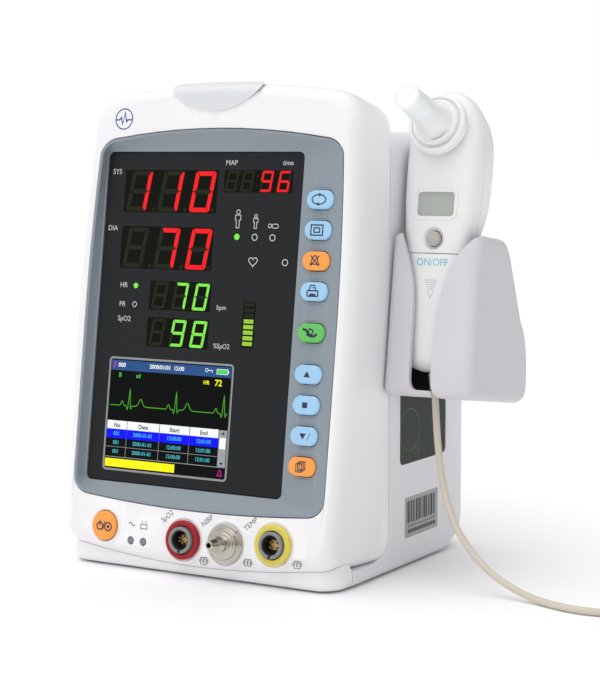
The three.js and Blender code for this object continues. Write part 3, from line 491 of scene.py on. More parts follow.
CORD_RADIUS = 1.65
CORD_SIDES = 14
CORD_STEP = 2.2
CORD_ROUTE = [
    (98.2, 42.2, 89.8),
    (98.6, 42, 85),
    (99.8, 40.6, 77),
    (101.4, 38.8, 68),
    (103.6, 36.8, 58),
    (106.4, 34.6, 48.4),
    (110.6, 31.6, 38.4),
    (115.8, 29.2, 29.6),
    (122, 27.2, 22),
    (129.4, 25.2, 15.4),
    (138, 23.4, 9.8),
    (147.4, 21.8, 5.6),
    (157, 19.8, 2.9),
    (167, 16.6, 1.9),
    (177, 13.2, 1.9),
    (187, 11.9, 1.9),
    (197, 13.5, 1.9),
    (206.5, 16.6, 1.9),
    (216, 17.45, 1.9),
]
COIL = {"x": 229, "y": -4, "radius": 18.15, "width": 3, "layers": 4}
TURN_STEPS = 40
LANE_CHANGE = 0.3  # the share of a turn in which the cord moves to its next lane
LAST_TURN_ENDS = 252  # degrees; from there the cord leaves the coil's outside
TAIL = [  # degrees round the coil, radius and height
    (275, 22.2, 11.8),
    (300, 23.6, 11.7),
    (328, 25.15, 11.1),
    (350, 26.2, 10),
    (375, 27.2, 8.3),
    (400, 27.9, 6.6),
    (420, 28.15, 5.4),
    (435, 28.2, 4.85),
]


def beside_coil(degrees, radius, height):
    """A place near the coil: degrees clockwise from its rear side, seen from above."""
    angle = math.radians(90 - degrees)
    return (COIL["x"] + radius * math.cos(angle), COIL["y"] + radius * math.sin(angle), height)


def coil_turns():
    """The coil is wound clockwise seen from above, in layers that go in and out by turns."""
    pitch = 2 * CORD_RADIUS
    lanes = [COIL["radius"] + pitch * (k - (COIL["width"] - 1) / 2) for k in range(COIL["width"])]
    stops = []
    for layer in range(COIL["layers"]):
        order = lanes[::-1] if layer % 2 == 0 else lanes
        stops += [(radius, CORD_ROUTE[-1][2] + pitch * layer) for radius in order]
    points = []
    for (radius, height), following in zip(stops, stops[1:] + stops[-1:]):
        last = following == (radius, height)
        for i in range(TURN_STEPS):
            share = i / TURN_STEPS
            if last and share * 360 > LAST_TURN_ENDS:
                break
            t = max(0.0, (share - 1 + LANE_CHANGE) / LANE_CHANGE)
            move = t * t * (3 - 2 * t)
            r = radius + (following[0] - radius) * move
            points.append(beside_coil(360 * share, r, height + (following[1] - height) * move))
    return points


def between(p, q, start, end, t):
    return p.lerp(q, (t - start) / (end - start))


def smooth_line(points, step):
    """A centripetal Catmull-Rom curve through points, sampled about a step apart."""
    line = [Vector(p) for p in points]
    ends = [line[0] * 2 - line[1], *line, line[-1] * 2 - line[-2]]
    made = []
    for k in range(len(line) - 1):
        four = ends[k : k + 4]
        times = [0.0]
        for a, b in zip(four, four[1:]):
            times.append(times[-1] + max((b - a).length, 1e-6) ** 0.5)
        count = max(1, round((four[2] - four[1]).length / step))
        for i in range(count):
            t = times[1] + (times[2] - times[1]) * i / count
            a = [between(four[m], four[m + 1], times[m], times[m + 1], t) for m in range(3)]
            b = [between(a[m], a[m + 1], times[m], times[m + 2], t) for m in range(2)]
            made.append(between(*b, times[1], times[2], t))
    made.append(line[-1])
    return made


def tube(line, radius, sides):
    """Rings of a tube along a line, carried along without twisting."""
    side = Vector((1, 0, 0))
    rings = []
    for i, point in enumerate(line):
        ahead = line[min(i + 1, len(line) - 1)] - line[max(i - 1, 0)]
        ahead.normalize()
        side = (side - ahead * side.dot(ahead)).normalized()
        other = ahead.cross(side)
        rings.append([tuple(point + side * a + other * b) for a, b in circle(0, 0, radius, sides)])
    return rings


def ribbed(start, stop, low, high, count, depth):
    """The profile of a tapered sleeve with grooves round it, as (radius, height) stops."""
    made = []
    for i in range(count):
        for share, inset in ((0.1, 0), (0.55, 0), (0.65, depth), (0.95, depth)):
            t = (i + share) / count
            made.append((low + (high - low) * t - inset, start + (stop - start) * t))
    return made


cord_points = CORD_ROUTE + coil_turns() + [beside_coil(*stop) for stop in TAIL]
cord_line = smooth_line(cord_points, CORD_STEP)
cord = solid("thermometer_cord", loft(tube(cord_line, CORD_RADIUS, CORD_SIDES)), MONITOR, CORD_BEIGE)
shade(cord, 60, weighted=False)

plug_profile = [(0, 0), (2.3, 0)]
plug_profile += ribbed(0.6, 11.6, 2.3, 3.4, 6, 0.35)
plug_profile += [(3.4, 12), (4.6, 13), (4.6, 15)]
plug_profile += ribbed(15, 24, 4.6, 4.6, 6, 0.3)
plug_profile += [(4.6, 24.4), (4.6, 28), (3.7, 29), (3.7, 31), (3.45, 31.2), (3.45, 31.8), (3.7, 32)]
plug_profile += [(3.7, 38), (3.1, 38), (3.1, 34), (0, 34)]
plug_place = MONITOR @ shift(*beside_coil(*TAIL[-1])) @ turn("Z", TAIL[-1][0] - 420)
plug = solid("cord_connector", turned(rounded(plug_profile, 0.3), 40), plug_place, PLUG_GREY)
keep(shade(plug, 50), "cord_plug")

relief_profile = [(0, 0), (3.4, 0), (3.6, 0.4)] + ribbed(1, 6.6, 3.5, 2.6, 4, 0.45)
relief_profile += [(2.55, 6.8), (2.4, 7.6), (0, 7.6)]
relief_place = THERMOMETER @ shift(0, 46, -17.7) @ turn("X", 90)
relief = solid("cord_strain_relief", turned(rounded(relief_profile, 0.2), 40), relief_place, CORD_BEIGE)
keep(shade(relief, 50), "strain_relief", "thermometer")

cord.data.transform(cord.matrix_world)
cord.matrix_world = Matrix.Identity(4)
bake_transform(cord)
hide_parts("cord", "cord_coil")

# ------------------------------------------------------------------ front cover

GAP = 0.35
WALL = 2.6
CUT = 1  # how far a cutting tool reaches past what it cuts
FRONT = -5.5  # depth of the cover's front face; the window's face is at 0
PARTING = 35  # where the cover meets the rear housing
COVER_SHOULDER = 4  # depth at which the cover's rounded edge ends
COVER_BOW = ((5.5, 3.5), (5.5, 6.5))
COVER_FOOT = 8.4  # height of the cover's lower edge behind the skirt
SIDEWAYS = (-110, 110)  # the reach of tools that cut right across the monitor
HEEL_RADIUS = 14
RIM_RUN = 0.35  # how far the shoulder runs on in the panel's direction before it turns upright
SKIRT_BACK = 1
SEAM = 0.14  # assembly gap where two white shells meet
SLIVER = 0.001  # keeps two cut faces from lying in one plane
BACK_WALL_FOOT = 205
BEZEL = {"half_width": 71.2, "bottom": -90.8, "top": 91.8, "corner": 8}
BEZEL_BOW = ((3, 0.3), (6.2, 3.8))
POWER_KEY = (-49.8, -102.7, 7.2)  # x, v, radius
SPO2_PORT = (-3.5, -104.9, 9.4)
NIBP_PORT = (20.3, -104.4, 9.5)
TEMP_PORT = (46.5, -102.1, 9.6)
SOCKET_RADIUS = 6.35
NIBP_SHANK = 5
LAMPS = {"ac_lamp": -34.3, "battery_lamp": -27}
LAMP_V, LAMP_RADIUS = -108.4, 1.65
LENS_MIDDLE = (-3.5, 137.5)
LENS_RADIUS = 36.5
LENS_DEPTH = 9
LENS_PROUD = 1.1
LENS_RISE = 0.75  # how much the tool that shapes the light climbs per unit of depth


def leaned(points, depth):
    """An outline of the panel at a depth, in the monitor's frame."""
    return [tuple(TO_MONITOR @ (Vector((x, depth, v)) * MM) / MM) for x, v in points]


def cover_outline(share, grow=0.0):
    """The cover's outline, from its front face, at 0, to where its rounded edge ends, at 1."""
    half, high = 73.5 + 5.4 * share + grow, 107 + 7.4 * share + grow
    low = -110.5 - 7.7 * share - grow
    return barrel(half, low, high, 11 + 3 * share + grow, 7 + grow, *COVER_BOW)


def rim_outline(grow):
    return outline(77.6 + grow, 8 - grow, 225 + grow, 13 + grow, 4 + grow)


def cover_rings(grow=0.0, rim_depth=PARTING, steps=8):
    """The cover's outer form: a bowed front that leans with the panel, then an upright rim."""
    edge = COVER_SHOULDER - FRONT + grow
    start = COVER_SHOULDER - edge
    rings = [leaned(cover_outline(rise, grow), start + edge * run) for rise, run in quarter(steps)]
    backwards = Vector((0, math.cos(LEAN), -math.sin(LEAN)))
    bends = []
    for a, c in zip(map(Vector, rings[-1]), map(Vector, at_depth(rim_outline(grow), rim_depth))):
        bends.append(curve(a, a + backwards * RIM_RUN * (c - a).length, c, steps=steps))
    return rings + [list(ring) for ring in zip(*bends)]


def cover_solid(name, grow):
    return solid(name, loft(cover_rings(grow)), MONITOR)


def cover_side(gap):
    """What lies in front of the parting line, seen from the side; its lower rear corner is round."""
    back, low = PARTING + gap, COVER_FOOT - gap
    skirt_back = SKIRT_BACK + SLIVER
    points = [(-60, -20), (skirt_back, -20), (skirt_back, low), (back - HEEL_RADIUS, low)]
    points += arc(back - HEEL_RADIUS, low + HEEL_RADIUS, HEEL_RADIUS, -90, 0)[1:]
    return plank("side", points + [(back, 260), (-60, 260)], *SIDEWAYS, MONITOR)


def bezel_outline(grow):
    half, low, high, corner = BEZEL.values()
    return barrel(half + grow, low - grow, high + grow, corner + grow, corner + grow, *BEZEL_BOW)


def hole(x, v, radius, y0=FRONT - CUT, y1=6, segments=48):
    return slab("hole", circle(x, v, radius, segments), y0, y1)


def lens_prism(name, grow):
    """A round tool that climbs towards the back, so the light ends on the cover's top edge."""
    x, v = LENS_MIDDLE
    rings = []
    for depth in (FRONT - 2, LENS_DEPTH + grow):
        rings.append(at_depth(circle(x, v + LENS_RISE * (depth - FRONT), LENS_RADIUS + grow, 128), depth))
    return solid(name, loft(rings), PANEL)


cover_shell = [
    leaned(bezel_outline(GAP), -2.9),
    leaned(bezel_outline(GAP), -4.9),
    leaned(bezel_outline(GAP + 0.18), -5.32),
    leaned(bezel_outline(GAP + 0.6), FRONT),
    *cover_rings(rim_depth=PARTING - 0.4),
    at_depth(rim_outline(-0.12), PARTING - 0.12),
    at_depth(rim_outline(-0.4), PARTING),
    at_depth(rim_outline(-WALL), PARTING),
    leaned(cover_outline(1, -WALL), COVER_SHOULDER),
    leaned(cover_outline(0.3, -WALL), -2.9),
]
heel = [(SKIRT_BACK, -20), (SKIRT_BACK, COVER_FOOT), (PARTING - HEEL_RADIUS, COVER_FOOT)]
heel += arc(PARTING - HEEL_RADIUS, COVER_FOOT + HEEL_RADIUS, HEEL_RADIUS, -90, 0)
heel += [(60, COVER_FOOT + HEEL_RADIUS), (60, -20)]
cover = solid("front_shell", loft(cover_shell, closed=True), MONITOR, WHITE)
cut(
    cover,
    plank("heel", heel, *SIDEWAYS, MONITOR),
    hole(*POWER_KEY[:2], POWER_KEY[2] + GAP),
    *[hole(*port[:2], SOCKET_RADIUS + GAP) for port in (SPO2_PORT, TEMP_PORT)],
    hole(*NIBP_PORT[:2], NIBP_SHANK + GAP),
    *[hole(x, LAMP_V, LAMP_RADIUS + GAP, segments=24) for x in LAMPS.values()],
    lens_prism("lens_seat", SEAM),
)
keep(shade(soften(cover, 0.35, angle=55)), "front_cover")

# Above the housing, which is lower than the cover, a wall closes the cover's back.
back_wall = slab("cover_back_wall", rim_outline(0.2 - WALL), PARTING - WALL, PARTING - 0.6, MONITOR, WHITE)
combine(back_wall, "INTERSECT", [block(MONITOR, -90, 90, 0, 60, BACK_WALL_FOOT, 240)])
keep(shade(back_wall))

lens = combine(cover_solid("alarm_light_lens", LENS_PROUD), "INTERSECT", [lens_prism("prism", 0)])
paint(cut(lens, cover_solid("inner", -WALL)), LENS)
keep(shade(soften(lens, 0.45, 3, 45)), "alarm_lens")

LIPS = {  # x, v, inner radius, width and rise of the low surrounds on the cover's front face
    "power_key": (*POWER_KEY[:2], POWER_KEY[2] + GAP, 1.7, 0.35),
    "spo2": (*SPO2_PORT[:2], SPO2_PORT[2] + 0.5, 1.3, 0.3),
    "nibp": (*NIBP_PORT[:2], NIBP_PORT[2] + 0.5, 1.3, 0.3),
    "temp": (*TEMP_PORT[:2], TEMP_PORT[2] + 0.5, 1.3, 0.3),
}
for name, (x, v, radius, width, rise) in LIPS.items():
    profile = [(radius, -0.3)]
    profile += [(radius + width / 2 * (1 + a), rise * b) for a, b in arc(0, 0, 1, 180, 0, 8)]
    profile.append((radius + width, -0.3))
    surround = solid(name + "_surround", turned(profile, 72, closed=True), PANEL @ shift(x, FRONT, v), WHITE)
    keep(shade(surround, 50, weighted=False))

# ------------------------------------------------------------------ bezel and window

WINDOW = {"half_width": 56.1, "half_height": 81}
KEY = {"x": 57.7, "length": 14.8, "height": 8.9, "front": -4.9}
KEYS = {
    "cycle_key": (58.6, KEY_BLUE, "key_blue"),
    "mode_key": (44.4, KEY_BLUE, "key_blue"),
    "alarm_mute_key": (30.2, KEY_ORANGE, "key_orange"),
    "print_key": (16, KEY_BLUE, "key_blue"),
    "cuff_key": (-3.1, KEY_GREEN, "key_green"),
    "up_key": (-22.3, KEY_BLUE, "key_blue"),
    "select_key": (-36.5, KEY_BLUE, "key_blue"),
    "down_key": (-50.8, KEY_BLUE, "key_blue"),
    "records_key": (-64.9, KEY_ORANGE, "key_orange"),
}
DISH = {"top": -5.1, "floor": -0.6, "land": -1.1, "bend": 1.25, "steps": 10}
BEAD_SIDES, BEAD_SUNK, BEAD_FLATNESS = 6, 0.05, 0.7


def window_outline(grow):
    half, high = WINDOW["half_width"] + grow, WINDOW["half_height"] + grow
    return [(x + WINDOW_X, v) for x, v in outline(half, -high, high, 2.6 + grow)]


def dish_rings():
    """The bezel's hollow, which falls steeply from its land and then flattens to the window."""
    start, end = bezel_outline(DISH["land"]), window_outline(0.8)
    rings = []
    for i in range(DISH["steps"] + 1):
        share = i / DISH["steps"]
        depth = DISH["top"] + (DISH["floor"] - DISH["top"]) * (1 - (1 - share) ** DISH["bend"])
        ring = [(a[0] + (b[0] - a[0]) * share, a[1] + (b[1] - a[1]) * share) for a, b in zip(start, end)]
        rings.append(at_depth(ring, depth))
    return rings


def pill(v, grow):
    half, high = KEY["length"] / 2 + grow, KEY["height"] / 2 + grow
    return rectangle(KEY["x"], v, half, high, high - 0.01, 12)


def depth_on(piece, x, v, start=-20):
    """The depth of a piece's front at a place on the panel."""
    hit, place, *_ = piece.ray_cast(Vector((x, start, v)) * MM, Vector((0, 1, 0)))
    return place.y / MM if hit else 0.0


def bead_rings(points, on, radius):
    """Rings of a fine raised line that runs round an outline, lying on a piece."""
    line = [Vector((x, depth_on(on, x, v), v)) for x, v in points]
    rings = []
    for before, middle, after in zip(line[-1:] + line[:-1], line, line[1:] + line[:1]):
        ahead = after - before
        across = Vector((ahead.z, 0, -ahead.x)).normalized()
        ring = []
        for a, b in arc(0, 0, radius, 0, 180, BEAD_SIDES - 1):
            ring.append(tuple(middle + across * a + Vector((0, BEAD_SUNK - BEAD_FLATNESS * b, 0))))
        rings.append(ring)
    return rings


bezel_shell = [
    at_depth(bezel_outline(0), 2.4),
    at_depth(bezel_outline(0), -4.8),
    at_depth(bezel_outline(-0.1), -5.03),
    at_depth(bezel_outline(-0.3), DISH["top"]),
    *dish_rings(),
    at_depth(window_outline(0.45), -0.45),
    at_depth(window_outline(GAP), -0.2),
    at_depth(window_outline(GAP), 2.4),
]
bezel = solid("panel_bezel_frame", loft(bezel_shell, closed=True), PANEL, BEZEL_GREY)
cut(bezel, *[slab("hole", pill(v, GAP), -8, 4) for v, *_ in KEYS.values()])
shade(soften(bezel, 0.25, angle=60), 35)
for key, (v, *_) in KEYS.items():
    bead = loft(bead_rings(pill(v, 1.5), bezel, 0.3), closed=True)
    keep(shade(solid(key + "_surround", bead, PANEL, BEZEL_GREY), 60, weighted=False))
keep(bezel, "panel_bezel")

film_shape = rectangle(WINDOW_X, 0, WINDOW["half_width"], WINDOW["half_height"], 2.2, 8)
window = slab("display_film", film_shape, 0, WINDOW_THICK, look=WINDOW_BLACK)
keep(shade(soften(window, 0.3, angle=60)), "display_window")

# ------------------------------------------------------------------ prints and inlays

CAPITAL_HEIGHT = 0.72  # of the built-in font's capitals, for its size of 1
LEAST_MITRE = 0.4


class Sheet:
    """Flat shapes in one colour, gathered into one thin inlaid piece."""

    def __init__(self, place=PANEL, depth=0.0, rise=0.05, sunk=0.15):
        self.shape = bmesh.new()
        self.place = place
        self.depth = depth
        self.rise = rise
        self.sunk = sunk

    def plate(self, points, lift=0.0):
        self.fill([[(x, depth, z) for x, z in points] for depth in self.faces_at(lift)], False)

    def faces_at(self, lift):
        return self.depth - self.rise - lift, self.depth + self.sunk

    def fill(self, rings, closed):
        verts = [[self.shape.verts.new(Vector(p) * MM) for p in ring] for ring in rings]
        count = len(verts[0])
        for a, b in pairs_of(verts, closed):
            for i in range(count):
                j = (i + 1) % count
                self.shape.faces.new((a[i], a[j], b[j], b[i]))
        if not closed:
            self.shape.faces.new(verts[0][::-1])
            self.shape.faces.new(verts[-1])

    def band(self, points, width, closed=False, lift=0.0):
        """A line of a width through points, mitred at its bends."""
        line = [Vector(p) for p in points]
        count = len(line)
        front, back = self.faces_at(lift)
        rings = []
        for i, here in enumerate(line):
            before = line[i - 1] if closed or i else here * 2 - line[1]
            after = line[(i + 1) % count] if closed or i < count - 1 else here * 2 - line[i - 1]
            into, out = (here - before).normalized(), (after - here).normalized()
            normal = Vector((-(into + out).y, (into + out).x)).normalized()
            spread = normal * (width / 2 / max(LEAST_MITRE, normal.dot(Vector((-into.y, into.x)))))
            left, right = here + spread, here - spread
            corners = [(left, front), (right, front), (right, back), (left, back)]
            rings.append([(p.x, y, p.y) for p, y in corners])
        self.fill(rings, closed)

    def ring(self, x, z, radius, width, lift=0.0, steps=36):
        self.band(circle(x, z, radius, steps), width, True, lift)

    def dot(self, x, z, radius):
        self.plate(circle(x, z, radius, 28))

    def words(self, text, x, z, height, degrees=0.0, squeeze=1.0, lift=0.0, weight=0.0):
        """Plain capitals and figures, centred on a place."""
        letters = bpy.data.curves.new("words", "FONT")
        letters.body = text
        letters.align_x = "CENTER"
        letters.align_y = "CENTER"
        letters.extrude = 0.5
        letters.resolution_u = 3
        letters.offset = weight
        made = link("words", letters, Matrix.Identity(4))
        mesh = evaluated_mesh(made)
        bpy.data.objects.remove(made)
        thick = self.rise + lift + self.sunk
        size = height / CAPITAL_HEIGHT
        mesh.transform(
            shift(x, self.depth + self.sunk - thick / 2, z)
            @ turn("X", 90)
            @ turn("Z", degrees)
            @ Matrix.Diagonal((size * squeeze * MM, size * MM, thick * MM, 1))
        )
        self.shape.from_mesh(mesh)
        bpy.data.meshes.remove(mesh)

    def done(self, name, look, slot="display_module", body="root"):
        bmesh.ops.recalc_face_normals(self.shape, faces=self.shape.faces)
        mesh = bpy.data.meshes.new(name)
        self.shape.to_mesh(mesh)
        self.shape.free()
        return keep(link(name, mesh, self.place, look), body=body)


# ------------------------------------------------------------------ figures and labels

DIGIT_WINDOWS = {
    "sys": (-56.5, -2, 51.6, 72.4),
    "dia": (-56.4, -2.5, 23.8, 44.7),
    "map": (1.4, 39.7, 61.9, 72.6),
    "pulse": (-37.2, -1.5, 4.1, 18.2),
    "spo2": (-37.4, -1.4, -13.9, 0.3),
    "bargraph": (17.2, 24.2, -11.9, 10.1),
}
SEGMENTS_OF = {
    " ": "",
    "0": "abcdef",
    "1": "bc",
    "6": "acdefg",
    "7": "abc",
    "8": "abcdefg",
    "9": "abcdfg",
}
SLANT = math.tan(math.radians(9))
LARGE, MIDDLE, SMALL = (5.9, 9.9, 2.2), (3.9, 6.5, 1.4), (3.2, 5.0, 1.15)  # half width and height, bar
BAR_STEPS, BARS_LIT = 8, 5
LOW_BAR, BAR_SPAN = -9.9, 18.6
LABELS = (
    ("SYS", -61.7, 71.4, 2.7),
    ("DIA", -62.1, 43.4, 2.7),
    ("MAP", 5.1, 76, 2.6),
    ("time", 36.6, 76.1, 2.5),
    ("HR", -53, 15.4, 2.6),
    ("PR", -53.1, 6, 2.6),
    ("SpO2", -51.4, -1.1, 2.6),
    ("bpm", 4.9, 6.6, 2.4),
    ("%SpO2", 6.4, -11.9, 2.4),
)


def segment_bars(x, v, half_width, half_height, thick):
    """The seven bars of a figure, mitred where they meet, leaning with the figure."""
    w, h, t = half_width, half_height, thick
    nick, gap = thick * 0.35, thick * 0.09
    upright = [(w, h - gap - nick), (w, gap), (w - t / 2, gap), (w - t, gap + t / 2), (w - t, h - t - gap)]
    upright.append((w - nick, h - gap))
    level = [(-w + nick + gap, h), (w - nick - gap, h), (w - t - gap, h - t), (-w + t + gap, h - t)]
    middle = [(-w + t / 2 + gap, 0), (-w + t, t / 2), (w - t, t / 2), (w - t / 2 - gap, 0)]
    middle += [(w - t, -t / 2), (-w + t, -t / 2)]
    bars = {
        "a": level,
        "b": upright,
        "c": [(a, -b) for a, b in upright],
        "d": [(a, -b) for a, b in level],
        "e": [(-a, -b) for a, b in upright],
        "f": [(-a, b) for a, b in upright],
        "g": middle,
    }
    return {name: [(x + a + b * SLANT, v + b) for a, b in bar] for name, bar in bars.items()}


def figures(text, places, v, size, lit):
    for figure, x in zip(text, places):
        for name, bar in segment_bars(x, v, *size).items():
            (lit if name in SEGMENTS_OF[figure] else unlit).plate(bar)


def box_shape(x0, x1, v0, v1, corner=0.0):
    return rectangle((x0 + x1) / 2, (v0 + v1) / 2, (x1 - x0) / 2, abs(v1 - v0) / 2, corner)


backs, unlit, red, green, bar_green = Sheet(rise=0.02), Sheet(), Sheet(), Sheet(), Sheet()
for limits in DIGIT_WINDOWS.values():
    backs.plate(box_shape(*limits, 0.6))
figures("110", [-47.6, -29, -10.4], 62, LARGE, red)
figures(" 70", [-47.6, -29, -10.4], 34.2, LARGE, red)
figures("  96", [6, 14.7, 25.3, 35.0], 67.3, SMALL, red)
figures(" 70", [-31.1, -19.2, -7.2], 11.2, MIDDLE, green)
figures(" 98", [-31.1, -19.2, -7.2], -6.8, MIDDLE, green)
for v in (53.2, 25.4):
    for x in (-38.6, -20, -4.2):
        unlit.dot(x, v, 0.9)
for v in (64.9, 69.8):
    unlit.dot(20, v, 0.55)
for i in range(BAR_STEPS):
    sheet = bar_green if i < BARS_LIT else unlit
    sheet.plate(rectangle(20.7, LOW_BAR + BAR_SPAN * i / (BAR_STEPS - 1), 2.7, 0.95))
backs.done("digit_windows", DIGIT_BACK)
unlit.done("unlit_segments", SEGMENT_OFF)
red.done("red_figures", RED_GLOW)
green.done("green_figures", GREEN_GLOW)
bar_green.done("pulse_bars", finish_of("lime bars", (126, 168, 30), 0.4, 0.1, 500, glow=0.5))


def person(sheet, x, foot, height):
    """A standing figure in outline."""
    head = height * 0.14
    sheet.ring(x, foot + height - head, head * 0.8, 0.35, steps=20)
    half, waist, shoulder = height * 0.17, foot + height * 0.42, foot + height * 0.69
    right = [(half, shoulder), (half, waist), (half * 0.55, waist), (half * 0.55, foot)]
    sheet.band([(x - a, b) for a, b in right[::-1]] + [(x + a, b) for a, b in right], 0.35, True)


def heart(x, v, size, steps=32):
    points = []
    for i in range(steps):
        t = 2 * math.pi * i / steps
        up = (13 * math.cos(t) - 5 * math.cos(2 * t) - 2 * math.cos(3 * t) - math.cos(4 * t)) / 16
        points.append((x + size * math.sin(t) ** 3, v + size * up))
    return points


labels = Sheet()
for text, x, v, height in LABELS:
    labels.words(text, x, v, height, squeeze=0.95)
labels.ring(-45.8, 6.2, 1.2, 0.35)
for x, v in ((20.8, 40.7), (30.7, 40.7), (38.5, 29.2)):
    labels.ring(x, v, 1.45, 0.4)
person(labels, 10.8, 45, 8.8)
person(labels, 20.8, 44.9, 6.9)
labels.ring(28.9, 46.3, 0.9, 0.35, steps=20)
labels.band(rectangle(31.8, 46.2, 1.7, 0.95, 0.9), 0.35, True)
labels.band(heart(20.8, 29.2, 2.4), 0.4, True)
labels.done("window_labels", LABEL_PALE, "window_black")
lit_leds = Sheet()
lit_leds.dot(-45.8, 15.4, 1.35)
lit_leds.dot(10.8, 40.7, 1.5)
lit_leds.done("lit_indicators", GREEN_GLOW)

# ------------------------------------------------------------------ colour display

LCD = (-21.9, -47.95, 36.4, 27.95)  # x, v, half width and half height with its edge
LCD_X0, LCD_X1 = LCD[0] - 35.05, LCD[0] + 35.05
TRACE_FLOOR = -43.8
TRACE_STEPS = 420
TRACE_MARGIN = 0.7
BEATS = (-44.7, -17.2, 10.2)
TABLE_COLUMNS = (-45.1, -25.7, -8.2, 8.3)
TABLE_TOP, TABLE_HEAD_END, TABLE_END = -51.4, -55.5, -69
ROW_PITCH = 4.4
ink = {name: Sheet(rise=0.06) for name in SCREEN}
surround = Sheet()
surround.band(rectangle(*LCD[:2], LCD[2] - 0.5, LCD[3] - 0.5, 1.6), 1.0, True)
ink["black"].plate(rectangle(*LCD[:2], LCD[2] - 1, LCD[3] - 1, 1), lift=-0.03)


def screen_box(name, x0, x1, v0, v1, lift=0.0):
    ink[name].plate(box_shape(x0, x1, v0, v1), lift)


def write(name, text, x, v, height, squeeze=1.0, lift=0.02):
    ink[name].words(text, x, v, height, squeeze=squeeze, lift=lift, weight=0.02)


def trace_height(x):
    """The trace of a heartbeat: a low bump, a sharp spike, and a broad bump after it."""
    v = TRACE_FLOOR
    for beat in BEATS:
        v += 2.3 * math.exp(-(((x - beat + 4.3) / 0.8) ** 2))
        v += 3.6 * math.exp(-(((x - beat - 6.7) / 1.5) ** 2))
        v += 9.2 * max(0, 1 - abs(x - beat) / 0.7)
        v -= 1.9 * max(0, 1 - abs(x - beat + 1.1) / 0.6) + 1.5 * max(0, 1 - abs(x - beat - 1.1) / 0.6)
    return v


screen_box("bar", LCD_X0, LCD_X1, -21.6, -26.3)
screen_box("bar", LCD_X0, LCD_X1, -26.3, -26.6)
ink["magenta"].band([(-55.3, -25.3), (-54.5, -22.4)], 0.8, lift=0.02)
write("white", "000", -50.6, -24, 2.1)
write("white", "2000/01/01  12:00", -24, -23.9, 2.0)
ink["white"].ring(-0.8, -23.6, 0.8, 0.3, lift=0.02, steps=18)
ink["white"].band([(0, -23.6), (2.4, -23.6), (2.4, -24.6)], 0.35, lift=0.02)
ink["white"].band(rectangle(8.1, -23.95, 3.1, 1.15), 0.3, True, lift=0.02)
screen_box("white", 11.2, 11.8, -23.4, -24.5, lift=0.02)
screen_box("green", 5.4, 10.8, -23.1, -24.8, lift=0.02)
write("green", "II", -51.3, -28.9, 2.2)
write("green", "x1", -40.2, -28.9, 2.1)
write("yellow", "HR", -0.6, -29.6, 1.9)
write("yellow", "72", 6.3, -29.5, 3.0)
trace_start, trace_length = LCD_X0 + TRACE_MARGIN, LCD_X1 - LCD_X0 - 2 * TRACE_MARGIN
trace = [trace_start + trace_length * i / TRACE_STEPS for i in range(TRACE_STEPS + 1)]
ink["trace"].band([(x, trace_height(x)) for x in trace], 0.42, lift=0.01)

table_edges = [LCD_X0, *TABLE_COLUMNS]
table_end = TABLE_COLUMNS[-1]
screen_box("white", LCD_X0, table_end, TABLE_TOP, TABLE_HEAD_END)
for x in TABLE_COLUMNS[:-1]:
    screen_box("black", x - 0.15, x + 0.15, TABLE_TOP, TABLE_HEAD_END, lift=0.03)
    screen_box("grey", x - 0.1, x + 0.1, TABLE_HEAD_END - 0.1, TABLE_END)
screen_box("blue", LCD_X0, table_end, TABLE_HEAD_END - 0.1, -60.0)
screen_box("grey", LCD_X0, table_end, -64.2, -64.4)
table_cells = zip(table_edges, table_edges[1:], ("No", "Date", "Start", "End"))
for column, (x0, x1, head) in enumerate(table_cells):
    write("black", head, (x0 + x1) / 2, -53.7, 2.1, lift=0.03)
    cell = ("001", "2000-01-01", "12:00:00", "12:01:00")[column]
    for row in range(3):
        write("teal", cell, (x0 + x1) / 2, -57.8 - ROW_PITCH * row, 1.9, squeeze=0.95)
screen_box("grey", table_end + 0.4, LCD_X1, -51.6, TABLE_END)
screen_box("white", table_end + 0.9, LCD_X1 - 0.5, -55.2, -60.5, lift=0.02)
scroll_x = (table_end + 0.4 + LCD_X1) / 2
for v, rise in ((-53.2, 0.8), (-67.4, -0.8)):
    foot_v = v - rise / 2
    ink["black"].plate([(scroll_x + 1, foot_v), (scroll_x, v + rise), (scroll_x - 1, foot_v)], lift=0.03)
screen_box("grey", LCD_X0, LCD_X1, -69.1, -69.4)
screen_box("yellow", LCD_X0, -15.6, -70.1, -74.1)
bell = [(9.1, -73.3), (9.6, -72.4), (9.7, -71.3), (10.4, -70.6), (11.1, -71.3), (11.2, -72.4), (11.7, -73.3)]
ink["magenta"].band(bell, 0.35, True, lift=0.02)
surround.done("display_edge", LABEL_SILVER, "thermometer_lcd")
for name, sheet in ink.items():
    sheet.done("screen_" + name, SCREEN[name])

# ------------------------------------------------------------------ keys

OVAL = [(2.6 * a, 1.6 * b) for a, b in circle(0, 0, 1, 32)]
BELL = [(-2, -1.3), (-1.4, -0.6), (-1.2, 1), (0, 2.1), (1.2, 1), (1.4, -0.6), (2, -1.3)]
PAPER = [(-1.3, 0.5), (-1.0, 2.2), (0.7, 2.2), (1.2, 0.5)]
ARM = [(-3.1, 1.3), (-1.6, 0.9), (-0.4, -0.5), (1.6, -1.3), (3.1, -0.4)]
CUFF = [(-1.2, -0.8), (-0.2, 1.5), (1.4, 0.9), (0.6, -1.5)]


def arrow_head(sheet, tip, direction, size):
    along = Vector(direction).normalized()
    across = Vector((-along.y, along.x))
    tip = Vector(tip)
    base = tip - along * size
    sheet.plate([tuple(tip), tuple(base + across * size * 0.7), tuple(base - across * size * 0.7)])


def icon_cycle(sheet):
    sheet.band(OVAL, 0.4, True)
    for side in (1, -1):
        arrow_head(sheet, (0.9 * side, 1.6 * side), (side, 0.05 * side), 0.95)


